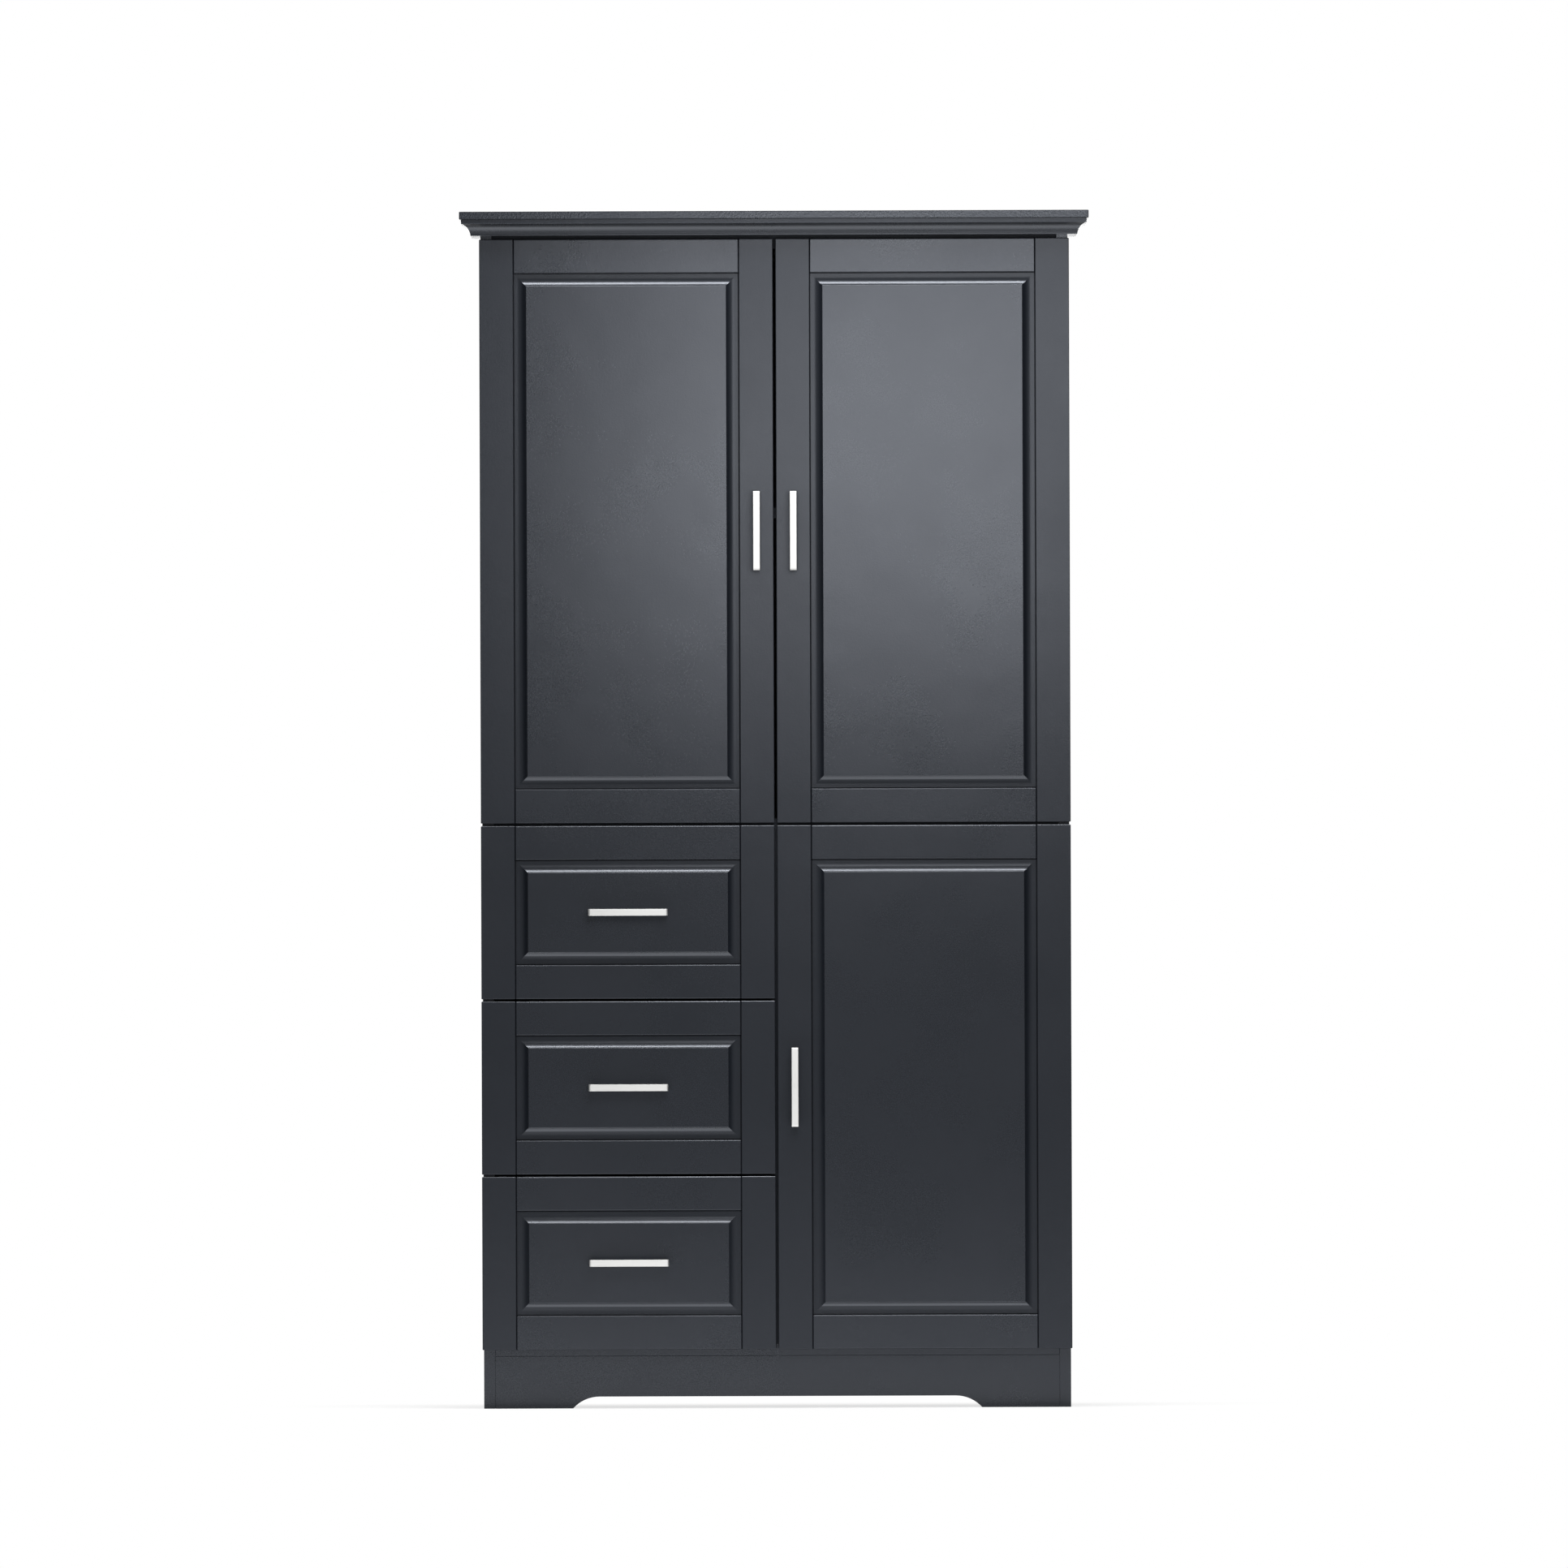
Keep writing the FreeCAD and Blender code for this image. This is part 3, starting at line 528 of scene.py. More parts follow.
PULL_UPRIGHT = Streaked(
    "satin_nickel_upright", Slot.SATIN_NICKEL, dark=(0.345, 0.345, 0.34), light=(0.39, 0.39, 0.385),
    roughness=0.56, spread=0.12, stretch=(1.0, 1.0, 0.02), size=0.35 * MM,
)
PULL_LEVEL = replace(PULL_UPRIGHT, name="satin_nickel_level", stretch=(0.02, 1.0, 1.0))
NICKEL = Streaked(
    "bright_nickel_plate", Slot.NICKEL_PLATE, dark=(0.62, 0.61, 0.58), light=(0.74, 0.73, 0.70),
    roughness=0.24, spread=0.08, stretch=(1.0, 0.2, 0.2), size=0.6 * MM,
)
COAT = Mottled(
    "grey_powder_coat", Slot.RUNNER_STEEL, colour=(0.56, 0.575, 0.59), cloud_colour=(0.64, 0.65, 0.66),
    roughness=0.42, spread=0.15, cloud_size=45.0 * MM, grain_size=0.7 * MM,
)
NYLON = Mottled(
    "roller_nylon", Slot.NYLON, colour=(0.82, 0.82, 0.78), cloud_colour=(0.74, 0.74, 0.69),
    roughness=0.38, spread=0.12, cloud_size=6.0 * MM, grain_size=6.0 * MM, grain_detail=3.0, subsurface=0.05,
)


# Forms


def set_on(seat: Vector, axis: Vector) -> Matrix:
    """Gives the turn and shift that set Z along an axis at a seat."""
    return Matrix.Translation(seat) @ axis.to_track_quat("Z", "Y").to_matrix().to_4x4()


class Form:
    """A mesh in the making, shaped by bmesh operators in the row frame."""

    def __init__(self, *looks: Finish) -> None:
        """Starts an empty mesh whose faces wear the first of some finishes."""
        self.mesh: BMesh = bmesh.new()
        self.looks = looks

    def paint(self, face: BMFace, look: Finish) -> None:
        """Gives a face one of the form's finishes."""
        face.material_index = self.looks.index(look)

    def wears(self, face: BMFace, look: Finish) -> bool:
        """Tells whether a face wears a finish."""
        return self.looks[face.material_index] is look

    def cube(self, low: Vector, high: Vector) -> list[BMVert]:
        """Adds a box between two corners and gives its corners."""
        place = Matrix.Translation((low + high) / 2) @ Matrix.Diagonal((*(high - low), 1.0))
        return bmesh.ops.create_cube(self.mesh, size=1.0, matrix=place)["verts"]

    def block(self, low: Vector, high: Vector, arris: float, segments: int = 3) -> None:
        """Adds a box whose edges are softened.

        Args:
            low: The lowest corner.
            high: The highest corner.
            arris: The radius of the edges.
            segments: How many flats make up the radius.
        """
        corners = self.cube(low, high)
        self.soften({edge for vert in corners for edge in vert.link_edges}, arris, segments)

    def soften(self, edges: Iterable[BMEdge], radius: float, segments: int) -> None:
        """Rounds edges with a number of flats."""
        bmesh.ops.bevel(
            self.mesh, geom=list(edges), offset=radius, offset_type="OFFSET", affect="EDGES",
            segments=segments, profile=0.5, material=-1, clamp_overlap=True,
        )
        self.mesh.normal_update()

    def bar(self, outline: Sequence[Vector], along: Vector) -> list[BMEdge]:
        """Adds a bar by pushing a flat outline along a way.

        Args:
            outline: The corners of one end.
            along: The way to the other end.

        Returns:
            The bar's long edges, in the outline's order.
        """
        verts = [self.mesh.verts.new(corner) for corner in outline]
        end = self.mesh.faces.new(verts)
        grown = bmesh.ops.extrude_face_region(self.mesh, geom=[end], use_keep_orig=True)["geom"]
        far = [item for item in grown if isinstance(item, BMVert)]
        bmesh.ops.translate(self.mesh, verts=far, vec=along)
        faces = {face for vert in verts + far for face in vert.link_faces}
        bmesh.ops.recalc_face_normals(self.mesh, faces=list(faces))
        return [next(e for e in vert.link_edges if e.other_vert(vert) in far) for vert in verts]

    def turn(self, outline: Sequence[tuple[float, float]], centre: Vector, axis: Vector, steps: int) -> None:
        """Adds a turned solid.

        Args:
            outline: Points as (radius, way along the axis), from end to end.
            centre: The point where the way along the axis is zero.
            axis: The axis as a unit vector.
            steps: How many steps make up the full turn.
        """
        before = set(self.mesh.verts)
        side = axis.orthogonal().normalized()
        verts = [self.mesh.verts.new(centre + side * radius + axis * way) for radius, way in outline]
        edges = [self.mesh.edges.new(pair) for pair in zip(verts, verts[1:])]
        bmesh.ops.spin(
            self.mesh, geom=verts + edges, cent=centre, axis=axis, dvec=Vector(), angle=2.0 * math.pi,
            steps=steps, use_merge=True, use_duplicate=False,
        )
        made = [vert for vert in self.mesh.verts if vert not in before]
        bmesh.ops.remove_doubles(self.mesh, verts=made, dist=MERGE_DISTANCE)
        made = [vert for vert in self.mesh.verts if vert not in before]
        bmesh.ops.recalc_face_normals(self.mesh, faces=list({f for v in made for f in v.link_faces}))

    def face_at(self, direction: Vector, point: Vector) -> BMFace:
        """Finds the flat face that looks along a direction nearest to a point.

        Args:
            direction: The direction, as a unit vector.
            point: The point.

        Returns:
            The face.
        """
        self.mesh.normal_update()
        looking = [f for f in self.mesh.faces if f.normal.dot(direction) > FACING]
        return min(looking, key=lambda f: (f.calc_center_median() - point).length)

    def ring(self, radius: float, centre: Vector, axis: Vector, segments: int) -> list[BMEdge]:
        """Adds a bare circle and gives its edges."""
        made = bmesh.ops.create_circle(
            self.mesh, cap_ends=False, radius=radius, segments=segments, matrix=set_on(centre, axis)
        )
        return list({edge for vert in made["verts"] for edge in vert.link_edges})

    def grow(self, rim: list[BMEdge]) -> tuple[list[BMVert], list[BMEdge]]:
        """Starts a wall from a closed rim.

        Args:
            rim: The rim, which is the wall's near end.

        Returns:
            The corners and the edges of the wall's far end, which still lie on the rim.
        """
        grown = bmesh.ops.extrude_edge_only(self.mesh, edges=rim)["geom"]
        corners = [item for item in grown if isinstance(item, BMVert)]
        far = [e for e in grown if isinstance(e, BMEdge) and all(vert in corners for vert in e.verts)]
        return corners, far

    def sink(self, face: BMFace, rim: list[BMEdge], way: Vector) -> None:
        """Lets a pocket into a face.

        Args:
            face: The face, which then ends at the pocket's rim.
            rim: The pocket's closed rim, in the face's plane.
            way: The way from the rim to the pocket's floor.
        """
        border = list(face.edges)
        bmesh.ops.delete(self.mesh, geom=[face], context="FACES_ONLY")
        bmesh.ops.bridge_loops(self.mesh, edges=border + rim)
        foot, floor = self.grow(rim)
        bmesh.ops.translate(self.mesh, verts=foot, vec=way)
        bmesh.ops.contextual_create(self.mesh, geom=floor)
        self.mesh.normal_update()

    def split_off(self, face: BMFace, point: Vector, direction: Vector) -> None:
        """Cuts one face in two by a plane through a point."""
        geom = [face, *face.edges, *face.verts]
        bmesh.ops.bisect_plane(self.mesh, geom=geom, dist=TINY, plane_co=point, plane_no=direction)

    def raise_face(self, face: BMFace, inset: float, height: float) -> None:
        """Draws a face in by a step and lifts it, with a sloped border left round it."""
        bmesh.ops.inset_region(
            self.mesh, faces=[face], thickness=inset, depth=height, use_boundary=True, use_even_offset=True
        )

    def finish(
        self, name: str, body: str, nodes: Sequence[str] = (),
        crease: Optional[Callable[[BMEdge], bool]] = None,
    ) -> None:
        """Makes the mesh an object that rides on a body.

        Args:
            name: The piece's name.
            body: The CAD body that it rides on.
            nodes: The CAD nodes that it stands for.
            crease: A test for edges that are sharp however little they turn.
        """
        bmesh.ops.recalc_face_normals(self.mesh, faces=self.mesh.faces[:])
        for face in self.mesh.faces:
            face.smooth = face.calc_area() < BROAD_FACE
        for edge in self.mesh.edges:
            sharp = edge.calc_face_angle(0.0) > SHARP_TURN
            edge.smooth = not (sharp or (crease is not None and crease(edge)))
        data = bpy.data.meshes.new(name)
        self.mesh.to_mesh(data)
        self.mesh.free()
        for look in self.looks:
            data.materials.append(look.material())
        piece = bpy.data.objects.new(name, data)
        bpy.context.scene.collection.objects.link(piece)
        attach(piece, body)
        self.looks[0].slot.value
        if nodes:
            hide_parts(*nodes)
        LOG.info("%s: %d faces, rides on %s", name, len(data.polygons), body)


def is_mitre(edge: BMEdge) -> bool:
    """Tells whether an edge runs askew, as a mitre does."""
    run = edge.verts[1].co - edge.verts[0].co
    return sum(abs(part) > TINY for part in run) > 1


# Small hardware


@dataclass(frozen=True)
class CrossScrew:
    """A low domed screw head with a cross recess."""

    radius: float = 3.4 * MM
    height: float = 1.0 * MM
    slot_length: float = 1.9 * MM  # half the cross's length
    slot_width: float = 0.45 * MM  # half the width of its arms
    slot_depth: float = 0.6 * MM
    steps: int = 24

    def add_to(self, form: Form, seat: Vector, axis: Vector) -> None:
        """Adds one head to a form.

        Args:
            form: The form that gets the head.
            seat: The middle of the head's underside.
            axis: The way that the head looks, as a unit vector.
        """
        verts = bmesh.ops.create_cone(
            form.mesh, cap_ends=True, segments=self.steps, radius1=self.radius,
            radius2=self.radius - self.height / 2, depth=self.height,
            matrix=set_on(seat + axis * (self.height / 2), axis),
        )["verts"]
        form.mesh.normal_update()
        faces = {face for vert in verts for face in vert.link_faces}
        top = max(faces, key=lambda face: face.calc_center_median().dot(axis))
        side = axis.orthogonal().normalized()
        turn = Matrix.Rotation(math.pi / 2, 3, axis)
        rim = self.cross(form, seat + axis * self.height, side, turn)
        form.sink(top, rim, -axis * self.slot_depth)

    def cross(self, form: Form, centre: Vector, side: Vector, turn: Matrix) -> list[BMEdge]:
        """Adds the outline of the cross.

        Args:
            form: The form that gets it.
            centre: The cross's middle.
            side: The way along one arm, as a unit vector.
            turn: A quarter turn round the head's axis.

        Returns:
            The outline's edges.
        """
        corners: list[Vector] = []
        across = turn @ side
        for _ in range(4):
            corners.append(centre + side * self.slot_length - across * self.slot_width)
            corners.append(centre + side * self.slot_length + across * self.slot_width)
            corners.append(centre + side * self.slot_width + across * self.slot_width)
            side, across = turn @ side, turn @ across
        verts = [form.mesh.verts.new(corner) for corner in corners]
        return [form.mesh.edges.new(pair) for pair in zip(verts, verts[1:] + verts[:1])]


# Fronts


@dataclass
class RaisedFront:
    """A framed front: two stiles and two rails round a raised panel."""

    # Rail ends and the stiles' inner edges get a dark matt paint, painted shade for the joint lines, where
    # they turn sideways by more than this sine
    SHADE_TURN: ClassVar[float] = 0.2
    # The upper front arrises, which look up and forward by more than this sine, get a glossier paint:
    # painted sheen, and painted highlight on the top edge
    RIM_TURN: ClassVar[float] = 0.2
    # The cove gets a glossier paint, painted sheen, where it looks up or down by more than this sine
    COVE_TURN: ClassVar[float] = 0.42

    body: str
    frame_nodes: tuple[str, ...]
    panel_node: str
    stile: float = 45.0 * MM
    rail: float = 45.0 * MM
    arris: float = 0.9 * MM
    rail_arris: float = 1.3 * MM
    tuck: float = 1.0 * MM  # how far the panel's edge lies under the frame
    border: float = 5.5 * MM  # the flat border round the panel
    cove_width: float = 11.3 * MM
    cove_rise: float = 5.0 * MM  # from the border to the field
    cove_steps: int = 14
    brow: float = 0.35 * MM  # the radius where the cove meets the field
    groove: float = 1.1 * MM  # the shadow groove between frame and border
    groove_depth: float = 1.2 * MM
    box: Box = field(init=False)

    def __post_init__(self) -> None:
        """Takes the front's box from its first frame node."""
        self.box = Box.of(self.frame_nodes[0])

    def build(self, bores: Sequence["CupBore"] = ()) -> None:
        """Builds the frame, with bores for hinge cups, and the panel."""
        self.build_frame(bores)
        self.build_panel()

    def build_frame(self, bores: Sequence["CupBore"]) -> None:
        """Builds the stiles and rails, and drills the hinge stile.

        Args:
            bores: The bores for hinge cups, none on a drawer.
        """
        form = Form(PAINT, STILE_PAINT, SHADE_PAINT, SHEEN_PAINT, HIGHLIGHT_PAINT)
        low, high = self.box.low, self.box.high
        inner_low, inner_high = low.x + self.stile, high.x - self.stile
        for x_low, x_high in ((low.x, inner_low), (inner_high, high.x)):
            form.block(Vector((x_low, low.y, low.z)), Vector((x_high, high.y, high.z)), self.arris)
        for face in form.mesh.faces:
            form.paint(face, STILE_PAINT)
        for z_low, z_high in ((low.z, low.z + self.rail), (high.z - self.rail, high.z)):
            rail_low, rail_high = Vector((inner_low, low.y, z_low)), Vector((inner_high, high.y, z_high))
            form.block(rail_low, rail_high, self.rail_arris)
        # Sideways faces at the joints get painted shade; faces looking up and forward get painted sheen, and
        # painted highlight on the top edge
        for face in form.mesh.faces:
            middle = face.calc_center_median()
            inwards = face.normal.x * math.copysign(1.0, self.box.centre.x - middle.x)
            if (abs(face.normal.x) if form.wears(face, PAINT) else inwards) > self.SHADE_TURN:
                form.paint(face, SHADE_PAINT)
            elif min(face.normal.z, -face.normal.y) > self.RIM_TURN:
                form.paint(face, HIGHLIGHT_PAINT if middle.z > high.z - self.rail_arris else SHEEN_PAINT)
        for bore in bores:
            bore.drill(form, self.stile)
        form.finish(f"{self.body}_frame", self.body, self.frame_nodes)

    def build_panel(self) -> None:
        """Builds the panel: a slab whose face is drawn in and lifted along the cove's arc."""
        form = Form(PAINT, ROUTED_PAINT, SHADE_PAINT, SHEEN_PAINT)
        panel = Box.of(self.panel_node)
        ledge = panel.low.y + self.cove_rise + self.groove_depth
        margin = Vector((self.stile - self.tuck, 0.0, self.rail - self.tuck))
        low, high = self.box.low + margin, self.box.high - margin
        form.cube(Vector((low.x, ledge, low.z)), Vector((high.x, panel.high.y, high.z)))
        face = form.face_at(-BACK, Vector((panel.centre.x, ledge, panel.centre.z)))
        form.raise_face(face, self.tuck + self.groove, 0.0)
        form.raise_face(face, 0.0, self.groove_depth)
        form.mesh.normal_update()
        # The groove round the border and the slab's hidden sides get painted shade
        for other in form.mesh.faces:
            form.paint(other, PAINT if other.normal.y > FACING else SHADE_PAINT)
        form.paint(face, ROUTED_PAINT)
        form.raise_face(face, self.border - self.groove, 0.0)
        form.paint(face, SHEEN_PAINT)
        turn = 2.0 * math.atan2(self.cove_rise, self.cove_width)
        radius = self.cove_width / math.sin(turn)
        turns = [turn * step / self.cove_steps for step in range(self.cove_steps + 1)]
        arc = [(radius * math.sin(part), radius * (1.0 - math.cos(part))) for part in turns]
        for (run, rise), (next_run, next_rise) in zip(arc, arc[1:]):
            form.raise_face(face, next_run - run, next_rise - rise)
        form.paint(face, PAINT)
        form.mesh.normal_update()
        # Cove faces that look up or down keep the painted sheen; the side coves get the plain routed paint
        for other in form.mesh.faces:
            if form.wears(other, SHEEN_PAINT) and abs(other.normal.z) < self.COVE_TURN:
                form.paint(other, ROUTED_PAINT)
        form.soften(face.edges[:], self.brow, 2)
        form.finish(f"{self.body}_raised_panel", self.body, (self.panel_node,), crease=is_mitre)


@dataclass
class CupBore:
    """The bore in a door's back that a hinge cup sits in."""

    centre: Vector
    radius: float = 17.5 * MM
    depth: float = 11.6 * MM
    steps: int = 48

    def drill(self, form: Form, patch: float) -> None:
        """Drills the bore into a door's frame.

        Args:
            form: The frame.
            patch: The height of the patch of the stile's back that is cut round the bore.
        """
        for way in (-1.0, 1.0):
            face = form.face_at(BACK, self.centre)
            form.split_off(face, self.centre + UP * (way * patch / 2), UP)
        face = form.face_at(BACK, self.centre)
        form.sink(face, form.ring(self.radius, self.centre, BACK, self.steps), -BACK * self.depth)


@dataclass
class BarPull:
    """A square metal bar bent to a flat U, and the heads of its two screws behind the front."""

    node: str
    body: str
    carrier: str  # the CAD node that it is screwed through
    section: float = 9.0 * MM  # width and thickness
    bend: float = 3.0 * MM  # the outer radius of its bends
    hollow: float = 1.2 * MM  # the inner radius of its bends
    arris: float = 0.55 * MM
    bend_steps: int = 8
    hollow_steps: int = 6
    arris_steps: int = 3
    screw: CrossScrew = CrossScrew()

    def build(self) -> None:
        """Builds the pull in the place of its node."""
        box = Box.of(self.node)
        lie = Lie.UPRIGHT if box.size.z > box.size.x else Lie.LEVEL
        long, across = (UP, RIGHT) if lie is Lie.UPRIGHT else (RIGHT, UP)
        start = Vector((box.low.x, 0.0, box.low.z)) + across * self.arris
        length = box.size.dot(long)
        foot, front = box.high.y, box.low.y

        def at(way: float, y: float) -> Vector:
            """Gives a corner of the bar's side outline."""
            return start + long * way + BACK * y

        outline = [
            at(0.0, foot), at(0.0, front), at(length, front), at(length, foot),
            at(length - self.section, foot), at(length - self.section, front + self.section),
            at(self.section, front + self.section), at(self.section, foot),
        ]
        form = Form(PULL_UPRIGHT if lie is Lie.UPRIGHT else PULL_LEVEL)
        edges = form.bar(outline, across * (self.section - 2 * self.arris))
        outer, inner = [edges[1], edges[2]], [edges[5], edges[6]]
        form.soften(outer, self.bend, self.bend_steps)
        form.soften([edge for edge in inner if edge.is_valid], self.hollow, self.hollow_steps)
        arc = [math.pi / 2 * step / self.arris_steps for step in range(self.arris_steps + 1)]
        for way in (across, -across):
            flank = form.face_at(way, box.centre)
            for turn, next_turn in zip(arc, arc[1:]):
                inset = self.arris * (math.cos(turn) - math.cos(next_turn))
                form.raise_face(flank, inset, self.arris * (math.sin(next_turn) - math.sin(turn)))
        behind = BACK * Box.of(self.carrier).high.y
        for way in (self.section / 2, length - self.section / 2):
            seat = start + across * (self.section / 2 - self.arris) + long * way + behind
            self.screw.add_to(form, seat, BACK)
        form.finish(f"{self.body}_bar_pull", self.body, (self.node,))


# Hinges


@dataclass
class CupHinge:
    """The door's halves of its concealed hinges: pressed cups with wings, pins and screws."""

    door: str
    radius: float = 17.4 * MM
    wall: float = 0.8 * MM
    depth: float = 11.5 * MM
    rim: float = 1.2 * MM  # how far it stands out round the cup
    plate: float = 1.0 * MM  # the thickness of rim and wings
    wing_length: float = 62.0 * MM  # over both wings
    wing_width: float = 22.0 * MM
    pin_radius: float = 1.25 * MM
    pin_below: float = 7.5 * MM  # below the door's back
    pin_from_edge: float = 6.8 * MM  # from the door's edge
    screw_from_centre: float = 24.0 * MM
    screw: CrossScrew = CrossScrew()
    cup_steps: int = 48
    pin_steps: int = 20
    centres: list[Vector] = field(init=False)
    hand: Hand = field(init=False)

    def __post_init__(self) -> None:
        """Finds the cups' middles, on the door's back, from the CAD node."""
        box = Box.of(f"{self.door}_hinge_cups")
        self.hand = Hand.LEFT if box.centre.x < 0.0 else Hand.RIGHT
        back = box.high.y - self.plate
        ends = (box.low.z + self.wing_length / 2, box.high.z - self.wing_length / 2)
        self.centres = [Vector((box.centre.x, back, z)) for z in ends]

    def bores(self) -> list[CupBore]:
        """Gives the bores that the door needs."""
        return [CupBore(centre) for centre in self.centres]

    def cup_outline(self) -> list[tuple[float, float]]:
        """Gives the section of a cup.

        Returns:
            Points as (radius, way out of the door), from the cup's underside round to its floor.
        """
        inner = self.radius - self.wall
        corner = self.wall
        return [
            (0.0, -self.depth), (self.radius - corner, -self.depth), (self.radius, -self.depth + corner),
            (self.radius, 0.0), (self.radius + self.rim, 0.0), (self.radius + self.rim, self.plate / 2),
            (self.radius + self.rim - self.plate / 2, self.plate), (inner + self.wall / 4, self.plate),
            (inner, self.plate - self.wall / 4), (inner, -self.depth + 2 * self.wall),
            (inner - self.wall, -self.depth + self.wall), (0.0, -self.depth + self.wall),
        ]

    def build(self) -> None:
        """Builds the door's cups in the place of their node."""
        form = Form(NICKEL)
        for centre in self.centres:
            form.turn(self.cup_outline(), centre, BACK, self.cup_steps)
            for way in (-1.0, 1.0):
                near = centre + UP * (way * (self.radius - self.wall / 2))
                far = centre + UP * (way * self.wing_length / 2)
                low = Vector((centre.x - self.wing_width / 2, centre.y, min(near.z, far.z)))
                high = Vector((centre.x + self.wing_width / 2, centre.y + self.plate, max(near.z, far.z)))
                form.block(low, high, self.plate / 3, 2)
                seat = centre + UP * (way * self.screw_from_centre) + BACK * self.plate
                self.screw.add_to(form, seat, BACK)
            self.add_pin(form, centre)
        form.finish(f"{self.door}_cups", self.door, (f"{self.door}_hinge_cups",))

    def add_pin(self, form: Form, centre: Vector) -> None:
        """Adds the pin across one cup.

        Args:
            form: The form that gets the pin.
            centre: The cup's middle, on the door's back.
        """
        stile_edge = Box.of(f"{self.door}_stiles")
        edge = stile_edge.low.x if self.hand is Hand.LEFT else stile_edge.high.x
        x = edge - self.hand.value * self.pin_from_edge
        half = math.sqrt((self.radius - self.wall) ** 2 - (centre.x - x) ** 2)
        start = Vector((x, centre.y - self.pin_below, centre.z))
        outline = [(0.0, -half), (self.pin_radius, -half), (self.pin_radius, half), (0.0, half)]
        form.turn(outline, start, UP, self.pin_steps)


@dataclass
class HingeScrews:
    """The screws of the hinges' fixed halves, on the mounting plates and the arms."""

    plate: float = 2.5 * MM
    arm_height: float = 8.0 * MM  # of the arm's channel over its plate
    wing_from_front: float = 35.0 * MM  # from the carcass's front edge
    wing_screw: float = 19.0 * MM  # from the hinge's middle
    arm_screws: tuple[float, float] = (22.0 * MM, 46.0 * MM)  # from the carcass's front edge
    screw: CrossScrew = CrossScrew(radius=3.2 * MM)

    def build(self, hinges: Sequence[CupHinge]) -> None:
        """Builds the screws of all hinges as one piece on the carcass.

        Args:
            hinges: The doors' halves, which give the heights.
        """
        form = Form(NICKEL)
        for hinge in hinges:
            panel = Box.of("left_side_panel" if hinge.hand is Hand.LEFT else "right_side_panel")
            face = panel.high.x if hinge.hand is Hand.LEFT else panel.low.x
            inwards = RIGHT * -hinge.hand.value
            for centre in hinge.centres:
                seat = Vector((face, panel.low.y, centre.z))
                on_wing = seat + inwards * self.plate + BACK * self.wing_from_front
                for way in (-1.0, 1.0):
                    self.screw.add_to(form, on_wing + UP * (way * self.wing_screw), inwards)
                on_arm = seat + inwards * (self.plate + self.arm_height)
                for distance in self.arm_screws:
                    self.screw.add_to(form, on_arm + BACK * distance, inwards)
        form.finish("hinge_screws", "carcass")


# Drawer hardware


